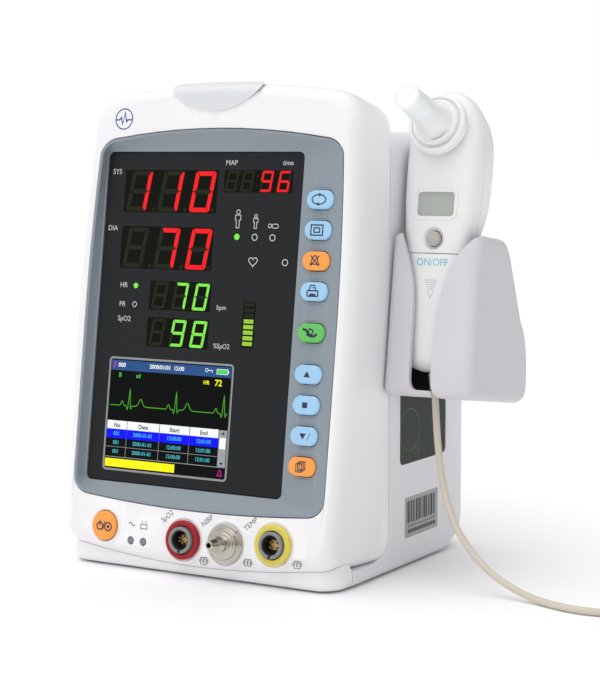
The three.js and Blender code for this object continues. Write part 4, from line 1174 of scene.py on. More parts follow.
def icon_mode(sheet):
    sheet.band(rectangle(0, 0, 2.5, 1.9), 0.5, True)
    sheet.band(rectangle(0, 0, 1.2, 0.8), 0.45, True)


def icon_mute(sheet):
    sheet.band(BELL, 0.4, True)
    for side in (-1.9, 1.9):
        sheet.band([(-side, -2), (side, 2)], 0.4)


def icon_print(sheet):
    sheet.band(rectangle(0, -0.7, 2.2, 1.0, 0.3), 0.45, True)
    sheet.band(PAPER, 0.4)
    sheet.band([(-0.4, 1.3), (0.5, 1.3)], 0.3)
    sheet.plate(rectangle(0, -1.1, 1.2, 0.35))


def icon_cuff(sheet):
    sheet.band(ARM, 0.9)
    sheet.band(CUFF, 0.5, True)


def icon_up(sheet):
    sheet.plate([(1.7, -1.3), (0, 1.5), (-1.7, -1.3)])


def icon_select(sheet):
    sheet.plate(rectangle(0, 0, 1.35, 1.3))


def icon_down(sheet):
    sheet.plate([(-1.7, 1.3), (0, -1.5), (1.7, 1.3)])
    sheet.band([(2.4, -1.7), (4, 1.7)], 0.25)


def icon_records(sheet):
    for k in range(3):
        sheet.band(rectangle(0.75 * (k - 1), 0.525 * (k - 1), 1.35, 1.6), 0.35, True, lift=0.005 * k)


ICONS = {
    "cycle_key": (icon_cycle, 1.4),
    "mode_key": (icon_mode, 1.25),
    "alarm_mute_key": (icon_mute, 1.2),
    "print_key": (icon_print, 1.3),
    "cuff_key": (icon_cuff, 1.25),
    "up_key": (icon_up, 1),
    "select_key": (icon_select, 1),
    "down_key": (icon_down, 1),
    "records_key": (icon_records, 1.15),
}
for key, (v, look, slot) in KEYS.items():
    half, high = KEY["length"] / 2, KEY["height"] / 2
    rings = pad_rings(KEY["x"], v, half, high, high - 0.01, KEY["front"], 3, 1.1, 6)
    collar = rectangle(KEY["x"], v, half + 1, high + 0.9, high + 0.89, 10)
    rings += [at_depth(collar, depth) for depth in (3.01, 4.4)]
    keep(shade(solid(key + "_cap", loft(rings), PANEL, look), 50), key, key)
    draw, size = ICONS[key]
    icon = Sheet(PANEL @ shift(KEY["x"] - 0.4, KEY["front"], v), rise=0.06, sunk=0.3)
    draw(icon)
    bmesh.ops.scale(icon.shape, vec=(size, 1, size), verts=icon.shape.verts)
    icon.done(key + "_icon", ICON_INK, slot, key)

# ------------------------------------------------------------------ lower zone

POWER_PROUD = 6.1  # height of the power key's side above the window's plane
NOTCH_ANGLES = (20, 155, 270)
PIN_CIRCLE = 2.2
OBLIQUE = 41  # degrees
BADGE = (-56, 96.8)


def on_cover(x, v):
    return PANEL @ shift(x, 0, v)


x, v, radius = POWER_KEY
dome = [(0, -3), (radius, -3), (radius, POWER_PROUD)]
dome += [(radius - 1.1 * run, POWER_PROUD + rise) for rise, run in quarter(6, 1)] + [(0, 7.15)]
power = solid("power_key_cap", turned(dome), on_cover(x, v), KEY_ORANGE)
keep(shade(power, 50), "power_key", "power_key")
mark = Sheet(depth=-7.1, rise=0.08, sunk=0.3)
mark.ring(x - 2.2, v - 0.3, 1.75, 0.65)
mark.band([(x - 2.2, v - 0.2), (x - 2.2, v + 2.6)], 0.6, lift=0.01)
mark.band([(x - 0.35, v - 2.2), (x + 0.55, v + 2.2)], 0.45, lift=0.01)
mark.ring(x + 2.7, v - 0.3, 1.95, 0.65)
mark.dot(x + 2.7, v - 0.3, 0.8)
mark.done("power_key_icon", ICON_INK, "key_orange", "power_key")

for name, x in LAMPS.items():
    r = LAMP_RADIUS
    profile = rounded([(0, -4), (r, -4), (r, 5.1), (r - 0.3, 5.4), (0.7, 5.6), (0, 5.62)], 0.3)
    lamp = solid(name + "_lens", turned(profile, 32), on_cover(x, LAMP_V), LAMP_GREY)
    keep(shade(lamp, 50), name)


def cable_socket(name, port, look, pins):
    """A round cable socket: a coloured ring, a sleeve with a keyway, and gilt contacts."""
    x, v, outer = port
    place = on_cover(x, v)
    inner = SOCKET_RADIUS + GAP
    ring = [(inner, 5.6), (outer, 5.6), (outer, 7.0)]
    ring += [(outer - 1.3 * run, 7 + 0.9 * rise) for rise, run in quarter(7, 1)]
    ring += [(inner + 0.3, 7.9), (inner, 7.6)]
    collar = solid(name + "_collar", turned(ring, 72, closed=True), place, look)
    notches = [arc(0, 0, outer + 0.5, degrees, degrees, 1)[0] for degrees in NOTCH_ANGLES]
    cut(collar, *[slab("notch", circle(*notch, 1.1, 20), -9, -6.9, place) for notch in notches])
    keep(shade(soften(collar, 0.12, 1), 45), name + "_ring")

    r = SOCKET_RADIUS
    sleeve = [(0, -5), (r, -5), (r, 9.1), (r - 0.45, 9.6), (5.1, 9.6), (4.75, 9.2), (4.75, 1.8), (0, 1.8)]
    body = solid(name + "_sleeve", turned(rounded(sleeve, 0.2)), place, SOCKET_GREY)
    cut(body, slab("keyway", rectangle(0, -5.2, 0.8, 0.9), -11, -5, place))
    keep(shade(soften(body, 0.1, 1, 60), 45), name + "_socket")
    well = [(0, 1.9), (4.7, 1.9), (4.7, 8.6), (4.35, 8.6), (4.35, 3.2), (0, 3.2)]
    keep(shade(solid(name + "_well", turned(well, 48), place, SOCKET_DARK), 45))
    insert = loft(pad_rings(0, 0, 3.1, 2.5, 1.4, -4.1, -3.0, 0.35, 3))
    keep(shade(solid(name + "_insert", insert, place, GOLD), 45))
    pin = [(0, 3.5), (0.42, 3.5), (0.42, 6.2), (0.3, 6.5), (0, 6.6)]
    for i in range(pins):
        angle = 2 * math.pi * (i + 0.5) / pins
        spot = place @ shift(PIN_CIRCLE * math.cos(angle), 0, PIN_CIRCLE * 0.75 * math.sin(angle))
        keep(shade(solid(f"{name}_contact_{i + 1}", turned(pin, 16), spot, GOLD), 45))


cable_socket("spo2", SPO2_PORT, RING_RED, 6)
cable_socket("temp", TEMP_PORT, RING_YELLOW, 4)

nibp_place, flange = on_cover(*NIBP_PORT[:2]), NIBP_PORT[2]
nipple = [(1.2, -7), (5, -7), (5, 5.7), (flange, 5.7), (flange, 6.9), (9.2, 7.2), (7.6, 7.2), (7.3, 7.6)]
nipple += [(7.2, 8.4), (6.9, 8.8), (5.4, 8.9), (5.2, 9.2), (3.8, 9.3), (3.5, 9.7), (3.2, 12.2), (3.6, 12.4)]
nipple += [(4.0, 12.9), (2.7, 15.5), (3.2, 15.9), (3.1, 16.4), (2.1, 20.0), (1.9, 20.4), (1.2, 20.4)]
stem = solid("cuff_nipple", turned(rounded(nipple, 0.15, 2), 72, closed=True), nibp_place, NICKEL)
spots = [arc(0, 0, 8.9, degrees, degrees, 1)[0] for degrees in (45, 225)]
cut(stem, *[slab("slot", circle(*spot, 0.7, 16), -8, -6.4, nibp_place) for spot in spots])
keep(shade(stem, 35), "nibp_port")

PORT_LABELS = (("SpO2", -13.8, -94.75), ("NIBP", 9.1, -94.65), ("TEMP", 33.3, -93.85))
PORT_MARKS = ((8.5, -113.6), (32.9, -111.8), (59.5, -109.8))  # a figure between two bars
prints = Sheet(depth=FRONT, rise=0.03)
for text, x, v in PORT_LABELS:
    prints.words(text, x, v, 2.7, OBLIQUE, squeeze=0.92)
mains_wave = [(-35.9 + 3.6 * i / 16, -100.5 + 0.8 * math.sin(2 * math.pi * i / 16)) for i in range(17)]
prints.band(mains_wave, 0.45)
prints.band(rectangle(-27.1, -101, 1.8, 1.1), 0.4, True)
for x in (-28.2, -26):
    prints.band([(x, -99.2), (x, -98.3)], 0.4)
for x, v in PORT_MARKS:
    prints.band(rectangle(x, v, 1.6, 1.6), 0.26, True)
    prints.dot(x, v + 0.75, 0.36)
    prints.band([(x, v + 0.3), (x, v - 1)], 0.42)
    for edge in (x - 2.2, x + 2.2):
        prints.band([(edge, v - 0.8), (edge, v + 0.8)], 0.26)
prints.done("cover_prints", LABEL_GREY, "shell_white")

badge = Sheet(depth=FRONT, rise=0.03)
pulse = [(-4.8, -0.4), (-2.6, -0.4), (-1.8, 0.8), (-0.8, -2.4), (0.4, 3.2), (1.5, -1.4), (2.2, -0.4)]
pulse.append((4.8, -0.4))
badge.band([(BADGE[0] + a, BADGE[1] + b) for a, b in pulse], 0.7)
badge.ring(*BADGE, 5.0, 0.6)
badge.done("badge_mark", BRAND_BLUE, "shell_white")

# ------------------------------------------------------------------ rear housing

HALF_WIDTH = 77.6
FLOOR_GAP = 0.8  # the housing's underside above the tabletop
HOUSING_TOP = 212
HOUSING_BACK = 128.4
TRAY_HEIGHT = 31
TRAY_WALL = 6
TAPER_START = 98
# How the housing tapers to its back: depth, inset of its sides, rise of its underside.
TAPER = [(TAPER_START, 0, 0.2), (110, 0.6, 4), (119, 2.2, 10), (125, 5.6, 19), (HOUSING_BACK, 11, 29)]
HANDLE_RECESS = {"half_width": 50, "front": 78, "floor": 172}
GRIP = (112, 203.4, 9, 7.6, 5)  # y, z, half depth, half height, corner radius
GRIP_RINGS = 24
MODULE = (71.5, 82, 24.7, 30)  # y, z, half depth, half height
INLET = (-35, 51)
GROUND = (0, 51)
BATTERY_DOOR = (18, 102, 37, 24)  # x, z, half width, half height
SCREWS = [(-60, 44), (60, 44), (-60, 190), (60, 190)]
SCREW_RADIUS = 3.1
VENTS = [(0, 137 + 4.6 * k, 44, 1.1) for k in range(6)]
SPEAKER = (84, 150, 17)  # y, z, radius
GRILLE_PITCH = (2.9, 2.5)
LABEL_BOX = (52, 87.5, 15, 35)
DEEP_HOLE = (120, 132)  # the reach of tools that cut through the back


def inlet_block(half_width, half_height, y0, y1):
    x, z = INLET
    return block(MONITOR, x - half_width, x + half_width, y0, y1, z - half_height, z + half_height)


def housing_ring(y, inset, rise, shrink):
    half, low = HALF_WIDTH - inset - shrink, FLOOR_GAP + rise + shrink
    shape = outline(half, low, HOUSING_TOP - inset - shrink, 10 - shrink, max(0.5, 4 - shrink), 10, 2)
    return at_depth(shape, y)


def housing_form(name, shrink):
    start = PARTING + GAP - (CUT if shrink else 0)
    stops = [(start, 0, 0), (start + 30, 0, 0), (start + 60, 0, 0.05), *smooth_line(TAPER, 2.5)]
    length = HOUSING_BACK - TAPER_START
    rings = [
        housing_ring(y - shrink * max(0, (y - TAPER_START) / length), inset, rise, shrink)
        for y, inset, rise in stops
    ]
    return solid(name, loft(rings), MONITOR)


def tray_form(name, shrink):
    start = SKIRT_BACK + GAP - (CUT if shrink else 0)
    return solid(name, loft([housing_ring(y, 0, 0, shrink) for y in (start, PARTING + 2)]), MONITOR)


def pegs(places, radius, y0, y1, place=MONITOR, segments=20):
    """One cutting tool of many round pegs along Y."""
    points, faces = [], []
    for x, z in places:
        shape, sides = loft([at_depth(circle(x, z, radius, segments), y) for y in (y0, y1)])
        faces += [tuple(len(points) + i for i in side) for side in sides]
        points += shape
    return solid("pegs", (points, faces), place)


grille = []
for row in range(-6, 7):
    for column in range(-6, 7):
        y, up = GRILLE_PITCH[0] * (column + 0.5 * (row % 2)), GRILLE_PITCH[1] * row
        if math.hypot(y, up) < SPEAKER[2] - 2:
            grille.append((SPEAKER[0] + y, SPEAKER[1] + up))
half, front, floor_z = HANDLE_RECESS.values()
module_hole = rectangle(*MODULE[:2], MODULE[2] + GAP, MODULE[3] + GAP, 3)
door_hole = rectangle(*BATTERY_DOOR[:2], BATTERY_DOOR[2] + GAP, BATTERY_DOOR[3] + GAP, 3)
tray = combine(tray_form("tray", 0), "INTERSECT", [block(MONITOR, -90, 90, 0, 40, 0, TRAY_HEIGHT)])
housing = combine(housing_form("housing_shell", 0), "UNION", [tray])
hollow = combine(housing_form("hollow", WALL), "UNION", [tray_form("tray", TRAY_WALL)])
cut(hollow, block(MONITOR, -half - WALL, half + WALL, front - WALL, 140, floor_z - WALL, 230))
cut(
    housing,
    hollow,
    cover_side(SEAM),
    block(MONITOR, -half, half, front, 140, floor_z, 230),
    plank("module", module_hole, HALF_WIDTH - 1.6, HALF_WIDTH + CUT, MONITOR),
    inlet_block(13.6, 10.4, *DEEP_HOLE),
    slab("hole", circle(*GROUND, 3 + GAP, 32), *DEEP_HOLE, MONITOR),
    slab("door", door_hole, HOUSING_BACK - 1.6, 132, MONITOR),
    pegs(SCREWS, SCREW_RADIUS + 0.4, HOUSING_BACK - 1.8, 132),
    pegs(grille, 0.75, HALF_WIDTH - 4, HALF_WIDTH + 2, SIDE, 10),
)
cut(housing, *[slab("vent", rectangle(*vent, vent[3] - 0.01, 5), *DEEP_HOLE, MONITOR) for vent in VENTS])
paint(housing, HOUSING_WHITE_PAINTED_SHADE)
keep(shade(soften(housing, 0.45), 35), "rear_housing")

head = [(0, -1), (1.2, -1), (1.2, 0), (SCREW_RADIUS, 0), (SCREW_RADIUS, 0.7), (2.4, 1.3), (0, 1.5)]
for i, (x, z) in enumerate(SCREWS):
    place = MONITOR @ shift(x, HOUSING_BACK - 1.8, z) @ turn("Z", 180)
    screw = solid(f"housing_screw_{i + 1}", turned(rounded(head, 0.3), 32), place, SCREW_STEEL)
    cross = [block(place, -a, a, -3, -0.5, -b, b) for a, b in ((1.7, 0.35), (0.35, 1.7))]
    keep(shade(cut(screw, *cross)))

# ------------------------------------------------------------------ base skirt and feet

SKIRT_FRONT = -16
SKIRT_WALL = 9
SKIRT_SIDE = (  # inset and height
    (3.4, 0), (2, 0.35), (0.9, 1.1), (0.25, 2.4), (0, 4), (0.1, 6), (0.5, 8), (1.2, 10), (2.2, 12.2)
)
FEET = {
    "foot_front_left": (-58, FOOT_DEPTH),
    "foot_front_right": (58, FOOT_DEPTH),
    "foot_rear_left": (-58, 88),
    "foot_rear_right": (58, 88),
}


def skirt_outline(inset):
    x, y, r = HALF_WIDTH - 1 - inset, SKIRT_FRONT + inset, 11 - inset
    back = SKIRT_BACK + (CUT if inset else 0)
    bends = arc(-x + r, y + r, r, 180, 270) + arc(x - r, y + r, r, 270, 360)
    return [(-x, back), *bends, (x, back)]


skirt_rings = []
for inset, rise in SKIRT_SIDE:
    narrow = 1 - inset / HALF_WIDTH
    ring = [(x * narrow, y if y > 0 else y + inset, FLOOR_GAP + rise) for x, y in skirt_outline(0)]
    skirt_rings.append(ring)
inner = [[(x, y, z) for x, y in skirt_outline(SKIRT_WALL)] for z in (FLOOR_GAP + WALL, 30)]
skirt = solid("base_front_skirt", loft(skirt_rings), MONITOR, WHITE)
cut(skirt, solid("inner", loft(inner), MONITOR), cover_solid("cover", SEAM))
keep(shade(soften(skirt, 0.3), 35), "base_skirt")

foot = [(0, 0), (5.4, 0), (6.2, 0.15), (6.5, 0.5), (6.2, 0.9), (6, 1.2), (2, 1.2), (0, 1.2)]
for name, (x, y) in FEET.items():
    pad = solid(name + "_pad", turned(foot, 40), MONITOR @ shift(x, y, 0) @ turn("X", -90), RUBBER)
    keep(shade(pad), name)

# ------------------------------------------------------------------ handle, plates, back

handle_rings = []
for i in range(GRIP_RINGS + 1):
    share = 2 * i / GRIP_RINGS - 1
    swell = 1 - 0.06 * math.cos(math.pi * share / 2) ** 2
    ring = rectangle(*GRIP[:2], *[size * swell for size in GRIP[2:]], 8)
    handle_rings.append([(share * (HANDLE_RECESS["half_width"] - GAP), a, b) for a, b in ring])
handle = solid("carry_grip", loft(handle_rings), MONITOR, HOUSING_WHITE_PAINTED_SHADE)
keep(shade(soften(handle, 0.4)), "carry_handle")

module_face = HALF_WIDTH - 0.3
plate_shape = rectangle(*MODULE, 2.7)
plate = plank("module_plate", plate_shape, HALF_WIDTH - 1.3, module_face, MONITOR, PLATE_DARK)
keep(shade(soften(plate, 0.3)), "module_cover")
rings_print = Sheet(SIDE, -module_face, rise=0.03)
for y, z, radius in ((57.5, 68, 10.3), (86.5, 69, 6.2)):
    rings_print.ring(y, z, radius, 0.55)
rings_print.done("plate_rings", RING_GREEN, "module_dark")
plate_mark = Sheet(SIDE, -module_face, rise=0.03)
plate_mark.band(rectangle(66.5, 56.8, 1.8, 2.2), 0.25, True)
plate_mark.ring(66.5, 56.8, 0.8, 0.4, steps=20)
plate_mark.done("plate_mark", LABEL_GREY, "module_dark")

y0, y1, z0, z1 = LABEL_BOX
sticker = Sheet(SIDE, -HALF_WIDTH, rise=0.08)
sticker.plate(box_shape(*LABEL_BOX, 0.8))
sticker.done("side_label", LABEL_SILVER, "shell_white")
stripes = Sheet(SIDE, -HALF_WIDTH - 0.08, rise=0.03)
offset = y0 + 2
k = 0
while offset < y1 - 2.6:
    wide = 0.6 + 0.4 * ((k * 7) % 4)
    stripes.plate(rectangle(offset + wide / 2, z1 - 7.4, wide / 2, 5.4))
    offset += wide + 0.55 + 0.3 * ((k * 5) % 3)
    k += 1
for i in range(12):
    stripes.plate(rectangle(y0 + 4 + 2.5 * i, z0 + 3, 0.95, 0.9))
    stripes.plate(rectangle(y0 + 4 + 2.5 * i, z0 + 5.6, 0.6, 0.4))
stripes.done("side_label_bars", LABEL_INK, "shell_white")

flange_shape = rectangle(*INLET, 15.5, 12.2, 2)
flange = slab("inlet_flange", flange_shape, HOUSING_BACK + 0.3, HOUSING_BACK + 2.3, MONITOR, INLET_BLACK)
combine(flange, "UNION", [inlet_block(13.2, 10, 108, HOUSING_BACK + 1)])
well = [(-11, -7.5), (11, -7.5), (11, 4.5), (8, 7.5), (-8, 7.5), (-11, 4.5)]
cut(flange, slab("well", [(INLET[0] + a, INLET[1] + b) for a, b in well], 112, 140, MONITOR))
paint(flange, INLET_BLACK)
keep(shade(soften(flange, 0.35)), "ac_inlet")
for i, (a, b) in enumerate(((-7, -1), (0, 2), (7, -1))):
    pin_shape = rectangle(INLET[0] + a, INLET[1] + b, 1, 2, 0.4, 3)
    blade = slab(f"inlet_blade_{i + 1}", pin_shape, 111.5, 121, MONITOR, NICKEL)
    keep(shade(soften(blade, 0.2, 1)))

post_profile = [(0, -8), (3, -8), (3, 0.3), (6, 0.3), (6, 2), (3.4, 2), (3, 2.4), (3, 4), (2.4, 5), (3, 6)]
for k in range(7):
    post_profile += [(3, 6.2 + 0.8 * k), (2.75, 6.6 + 0.8 * k)]
post_profile = rounded(post_profile + [(2.4, 12), (0, 12)], 0.15, 2)
post_place = MONITOR @ shift(GROUND[0], HOUSING_BACK, GROUND[1]) @ turn("Z", 180)
post = solid("ground_terminal", turned(post_profile, 40), post_place, NICKEL)
keep(shade(post, 35), "ground_post")

x, z, *_ = BATTERY_DOOR
door_shape = rectangle(*BATTERY_DOOR, 2.7)
door = slab("battery_hatch", door_shape, HOUSING_BACK - 1.3, HOUSING_BACK + 0.3, MONITOR, HOUSING_WHITE_PAINTED_SHADE)
grips = [rectangle(x - 12 + 4 * k, z + 16, 0.8, 4, 0.79, 5) for k in range(7)]
cut(door, *[slab("grip", grip, HOUSING_BACK, 131, MONITOR) for grip in grips])
keep(shade(soften(door, 0.25)), "battery_door")

rating = Sheet(BACK, -HOUSING_BACK, rise=0.08)
rating.plate(rectangle(-38, 52, 21, 11, 0.8))
rating.done("rating_plate", LABEL_SILVER, "shell_white")
lines = Sheet(BACK, -HOUSING_BACK - 0.08, rise=0.03)
for k in range(5):
    z = 59 - 3.4 * k
    lines.band([(-56, z), (-56 + (34 if k % 2 else 27), z)], 0.8)
lines.done("rating_lines", LABEL_INK, "shell_white")

# ------------------------------------------------------------------ thermometer holder

HOLDER = {"left": 78.2, "right": 124.3, "wall": 2.5, "face": 30, "back": 96, "floor": -29.2, "top": 47.8}


def holder_side(inset, mouth=False):
    """The holder's side view: a tall front, a sloping back and a deep foot."""
    front, back, low = HOLDER["face"] + inset, HOLDER["back"] - inset, HOLDER["floor"] + inset
    shoulder = HOLDER["top"] - inset
    slope, top = 67.5 - inset, 57 - inset
    points = [(front, low), (back - 9, low)]
    points += curve((back - 9, low), (back, low), (back, low + 9))
    points += curve((back, low + 9), (back - 1, 2), (84 - inset, 12))
    points.append((slope, 40))
    points += curve((slope, 40), (62.5 - inset, shoulder), (top, shoulder))
    if mouth:
        points.append((top, 70))
    return points + [(front, 70 if mouth else HOLDER["top"])]


def holder_slot():
    """The slot between the front lips: it flares at the top and lets the cord out below."""
    points = [(82.6, 60), (82.6, 47.8)]
    points += curve((82.6, 47.8), (86.5, 38), (91.3, 27), (91.5, 14), steps=12)
    points.append((92.1, -20))
    points += curve((92.1, -20), (92.3, -26), (96, -26), steps=6)
    points += [(103.3, -26), (103.3, -40), (107.5, -40), (107.5, -29)]
    points += curve((107.5, -29), (103.3, -28), (103.2, -18), steps=6)
    points.append((103.6, 4))
    points += curve((103.6, 4), (104.5, 22), (110, 36), (118, 43), steps=12)
    points += curve((118, 43), (121, 46), (125, 47.8), steps=6)
    return points + [(125, 60)]


left, right, wall, face, _, floor_v, _ = HOLDER.values()
holder = plank("holder_shell", holder_side(0), left, right, PANEL, HOLDER_WHITE_PAINTED_SHADE)
soften(holder, 4.2, 7)
cut(
    holder,
    plank("inner", holder_side(wall, True), left - CUT, right - wall, PANEL),
    slab("slot", holder_slot(), face - CUT, face + wall + CUT),
    block(PANEL, 94, 107.5, face + 3, 50, floor_v - CUT, floor_v + 4),
)
keep(shade(soften(holder, 0.55, 3, 60)), "thermometer_holder")

# ------------------------------------------------------------------ thermometer

# Its sections from its lower end up: height, half width, front and back depth, corner radius.
THERMO_SECTIONS = [
    (-17.2, 6.5, 41.5, 50, 4),
    (-15.5, 10, 37.5, 51.5, 5),
    (-11, 12.4, 35.2, 52.6, 6),
    (10, 13.8, 34.4, 53, 6.5),
    (38, 16, 33.8, 53, 7),
    (48, 17.2, 33.5, 53.4, 7),
    (55, 18, 33.3, 57, 8),
    (66, 18.7, 33.3, 59, 8),
    (88, 18.7, 33.3, 60, 9),
    (99, 17.2, 34, 58.5, 10),
    (107, 13.6, 36, 55, 10),
    (112.5, 9, 38.5, 51, 6),
    (115.2, 4, 41.5, 47.5, 2.9),
]
THERMO_SPLIT = 44
THERMO_SEAM = 0.15
LID_DEPTH = 39  # depth behind which the battery cover's sides end
SHELL = 1.8
GRIP_TOP = 38.5
DISPLAY_V = 61.5
KEY_V = 45.2
THERMO_KEY_RADIUS = 3.6


def spread(values, steps=4):
    """Values between listed ones, along a smooth curve that doesn't overshoot them."""
    slopes = []
    for low, high in zip(values[:1] + values[:-1], values[1:] + values[-1:]):
        slopes.append([(b - a) / (high[0] - low[0]) for a, b in zip(low, high)])
    made = []
    for (a, sa), (b, sb) in pairs_of(list(zip(values, slopes)), False):
        reach = (b[0] - a[0]) / 3
        controls = [(p, p + reach * m, q - reach * n, q) for p, m, q, n in zip(a, sa, b, sb)]
        for k in range(steps):
            t = k / steps
            weights = ((1 - t) ** 3, 3 * t * (1 - t) ** 2, 3 * t * t * (1 - t), t**3)
            made.append([sum(w * c for w, c in zip(weights, four)) for four in controls])
    return made + [list(values[-1])]


def squircle(half_width, half_depth, squareness, count=56):
    """A closed curve between an ellipse (2) and a rectangle, with no flat stretch."""
    points = []
    for i in range(count):
        angle = 2 * math.pi * (i + 0.5) / count
        c, s = math.cos(angle), math.sin(angle)
        reach = (abs(c) ** squareness + abs(s) ** squareness) ** (-1 / squareness)
        points.append((half_width * c * reach, half_depth * s * reach))
    return points


def thermometer_form(name, shrink):
    rings = []
    sections = spread(THERMO_SECTIONS)
    for i, (v, half, front, back, corner) in enumerate(sections):
        end = shrink if i == 0 else -shrink if i == len(sections) - 1 else 0
        middle, deep = (front + back) / 2, (back - front) / 2
        squareness = max(2, -1.3 / math.log2(1 - 0.29 * min(1, corner / deep)))
        shape = squircle(half - shrink, deep - shrink, squareness)
        rings.append([(x, middle + y, v + end) for x, y in shape])
    return solid(name, loft(rings), THERMOMETER, None if shrink else THERMO_WHITE)


def thermo_block(y0, y1, z0=-40, z1=140):
    return block(THERMOMETER, -40, 40, y0, y1, z0, z1)


def thermo_shell(name):
    return cut(thermometer_form(name, 0), thermometer_form("inner", SHELL))


key_place = THERMOMETER @ shift(0, 0, KEY_V)
dish_profile = [(0, -45), (THERMO_KEY_RADIUS, -35), (4.7, -34.5), (5.5, -33.6), (5.9, -32), (0, -32)]
face = cut(
    thermo_shell("thermometer_face"),
    thermo_block(THERMO_SPLIT - THERMO_SEAM, 90),
    slab("hole", rectangle(0, DISPLAY_V, 9.5, 5.7, 1.8, 8), 20, 38, THERMOMETER),
    slab("hole", circle(0, KEY_V, THERMO_KEY_RADIUS + GAP, 40), 20, 40, THERMOMETER),
    solid("dish", turned(dish_profile, 48), key_place),
    solid("probe_hole", turned([(0, -20), (9, -20), (9, 20), (0, 20)], 48), PROBE),
    thermo_block(20, LID_DEPTH, -30, GRIP_TOP),
)
rear = cut(thermo_shell("thermometer_rear"), thermo_block(0, THERMO_SPLIT + THERMO_SEAM))
for shell, node in ((face, "thermometer_front"), (rear, "thermometer_back")):
    keep(shade(soften(shell, 0.3)), node, "thermometer")

lid = thermometer_form("thermometer_battery_lid", 0)
combine(lid, "INTERSECT", [thermo_block(20, LID_DEPTH - GAP, -16.5, GRIP_TOP - GAP)])
cut(lid, thermometer_form("inner", SHELL))
lid_body = "thermometer_battery_cover"
keep(shade(soften(lid, 0.25)), lid_body, lid_body)
(z0, _, y0, *_), (z1, _, y1, *_) = THERMO_SECTIONS[3:5]
LID_FACE = THERMOMETER @ shift(0, y0, z0) @ Matrix.Rotation(math.atan2(y0 - y1, z1 - z0), 4, "X")
lid_print = Sheet(LID_FACE, rise=0.06, sunk=0.4)
lid_print.words("ON/OFF", 0, 24, 3.5, squeeze=0.92)
lid_print.done("lid_words", CYAN_INK, "thermometer_white", lid_body)
lid_lines = Sheet(LID_FACE, rise=0.1, sunk=0.4)
for k in range(5):
    half, z = 3.3 - 0.42 * k, 15.8 - 1.05 * k
    lid_lines.band([(-half, z), (half, z)], 0.4)
lid_lines.band([(-1.5, 10.8), (0, 7.4), (1.5, 10.8)], 0.4)
lid_lines.done("lid_grip_lines", LABEL_PALE, "thermometer_white", lid_body)

pane_shape = rectangle(0, DISPLAY_V, 9.6, 5.8, 1.8)
pane = slab("thermometer_display", pane_shape, 34.9, 35.6, THERMOMETER, LCD_GREY)
keep(shade(soften(pane, 0.2)), "thermometer_window", "thermometer")
rim = Sheet(THERMOMETER, 33.3, rise=0.35, sunk=0.5)
arch = []
for x, v in outline(10.9, 54.6, 68.4, 3):
    arch.append((x, v + (1.3 * math.cos(x / 11 * math.pi / 2) if v > DISPLAY_V else 0)))
rim.band(arch, 0.9, True)
rim.done("thermometer_display_rim", THERMO_WHITE, "thermometer_white", "thermometer")

button = [(0, -38), (THERMO_KEY_RADIUS, -38), (THERMO_KEY_RADIUS, -33.2), (3.3, -32.5), (2.6, -32.2)]
button += [(1.2, -32.1), (0, -32.1)]
button_cap = solid("thermometer_key_cap", turned(button, 48), key_place, KEY_GREY)
keep(shade(button_cap, 50), "thermometer_key", "thermometer_key")

collar = [(0, -12), (8.6, -12), (8.6, -7.2), (13.4, -7), (14.4, -6), (14.4, -2.7), (13.4, -1.6)]
collar += [(12.5, -1.7), (12.2, -3), (11.4, -3), (11.1, -0.5), (10.3, 0), (9.5, -0.5), (8.9, 0.8)]
collar += [(8.2, 3.2), (7.4, 6), (6.5, 10.6), (5.6, 16), (5.2, 27), (0, 27)]
nose = solid("probe_nose", turned(rounded(collar, 0.35), 72), PROBE, THERMO_WHITE)
keep(shade(nose), "probe_barrel", "thermometer")
tab_section = [(10.0, 0.6), (10.0, -1.3), (10.3, -1.6), (11.2, -1.6), (11.5, -1.3), (11.5, 0.6)]
for i, middle in enumerate((-62, 128)):
    turns = arc(0, 0, 1, middle - 26, middle + 26, 14)
    rings = [[(r * c, y, r * s) for r, y in tab_section] for c, s in turns]
    tab = solid(f"collar_tab_{i + 1}", loft(rings), PROBE, THERMO_WHITE)
    keep(shade(soften(tab, 0.2)), body="thermometer")
film = [(5.9, 16.3), (6.5, 16.3), (6.6, 16.7), (6.45, 17.2), (6.1, 28.6), (5.85, 29.6), (5.2, 30.2)]
film += [(1.7, 30.2), (1.4, 29.8), (0, 29.7), (0, 27.5), (5.4, 27.5)]
film_piece = solid("probe_cover_film", turned(film, closed=True), PROBE, PROBE_FILM)
keep(shade(film_piece), "probe_cover", "probe_cover")

# ------------------------------------------------------------------ inside

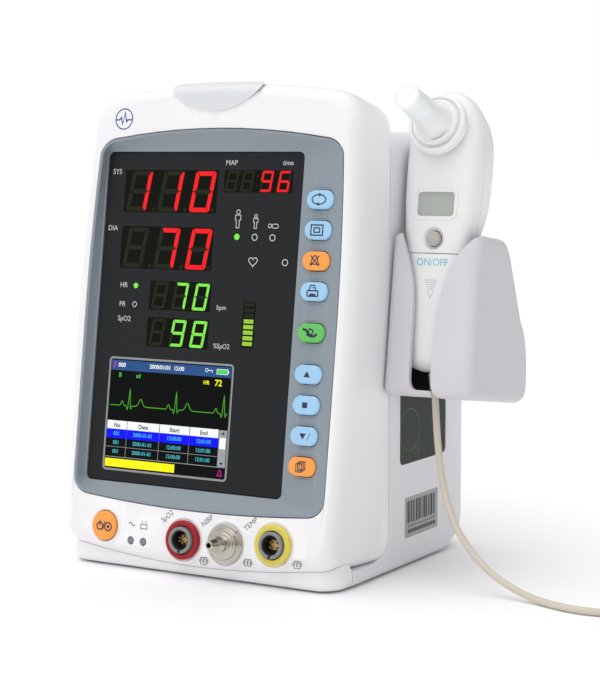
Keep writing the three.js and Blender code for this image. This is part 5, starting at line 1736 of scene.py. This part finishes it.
SHEET_STEEL = finish_of("sheet steel", (178, 182, 184), 0.38, 0.05, 40, 0.2, 1200, metallic=0.9)
BOARD_GREEN = finish_of("circuit board", (36, 96, 60), 0.5, 0.12, 220, 0.3, 900)
WRAP_BLUE = finish_of("battery wrap", (44, 66, 120), 0.4, 0.06, 90, 0.2, 1500)
AIR_CLEAR = finish_of("air tube", (206, 210, 212), 0.3, 0.03, 120, 0.1, 1500, subsurface=0.2)
SPEAKER_BLACK = finish_of("speaker", (32, 32, 34), 0.6, 0.08, 150, 0.4, 1500)
MODULE_BLACK = finish_of("display module", (22, 24, 20), 0.4, 0.08, 200, 0.2, 1800)
INNER_NODES = (
    (SHEET_STEEL, ("chassis_frame", "nibp_pump")),
    (BOARD_GREEN, ("main_board", "power_supply", "display_board", "thermometer_board")),
    (WRAP_BLUE, ("battery_pack",)),
    (SPEAKER_BLACK, ("speaker",)),
    (AIR_CLEAR, ("air_tube",)),
    (MODULE_BLACK, ("sys_digits", "dia_digits", "map_digits", "hr_digits", "spo2_digits")),
    (MODULE_BLACK, ("pulse_bargraph", "lcd_module")),
)
for look, nodes in INNER_NODES:
    for node in nodes:
        materials = frame["nodes"][node].data.materials
        for i in range(len(materials)):
            materials[i] = look

# ------------------------------------------------------------------ floor and light

FLOOR_RADIUS = 40  # metres
FLOOR = finish_of("studio floor", (252, 252, 253), 0.7, 0.003, 3, 0.0, specular=0.15)


def soft_sun(name, towards, spread_angle, strength):
    """A wide, far light that shines the same on the whole floor."""
    light = bpy.data.objects.new(name, bpy.data.lights.new(name, "SUN"))
    light.data.angle = math.radians(spread_angle)
    light.data.energy = strength
    light.rotation_euler = Vector(towards).to_track_quat("-Z", "Y").to_euler()
    scene.collection.objects.link(light)


floor_mesh = bpy.data.meshes.new("floor")
floor_points = [(x, y, 0) for x, y in circle(0, 0, FLOOR_RADIUS)]
floor_mesh.from_pydata(floor_points, [], [tuple(range(len(floor_points)))])
link("floor", floor_mesh, Matrix.Identity(4), FLOOR)
soft_sun("key", (-0.1, 0.8, -0.6), 50, 0.2)
soft_sun("top", (0.05, 0.1, -1), 70, 1.15)

# The studio's walls: bright on the left and in front, darker on the right, and plain white
# where the camera looks past the object.
world = bpy.data.worlds.new("studio")
world.use_nodes = True
studio = world.node_tree
direction = add_node(studio, "TexCoord").outputs["Generated"]
slope = add_node(studio, "VectorMath", {0: direction, 1: (-0.3, -0.25, 0.45)}, operation="DOT_PRODUCT")
limits = {"From Min": -0.7, "From Max": 0.7, "To Min": 0.02, "To Max": 1.0}
level = add_node(studio, "MapRange", {**limits, "Value": slope.outputs["Value"]})
walls = studio.nodes["Background"]
feed(studio, walls, {"Color": level.outputs[0]})
seen = add_node(studio, "Background", {"Color": (1, 1, 1, 1)})
choice = add_node(studio, "MixShader")
camera_ray = add_node(studio, "LightPath").outputs["Is Camera Ray"]
feed(studio, choice, {0: camera_ray, 1: walls.outputs[0], 2: seen.outputs[0]})
feed(studio, studio.nodes["World Output"], {"Surface": choice.outputs[0]})
scene.world = world
scene.view_settings.view_transform = "Standard"
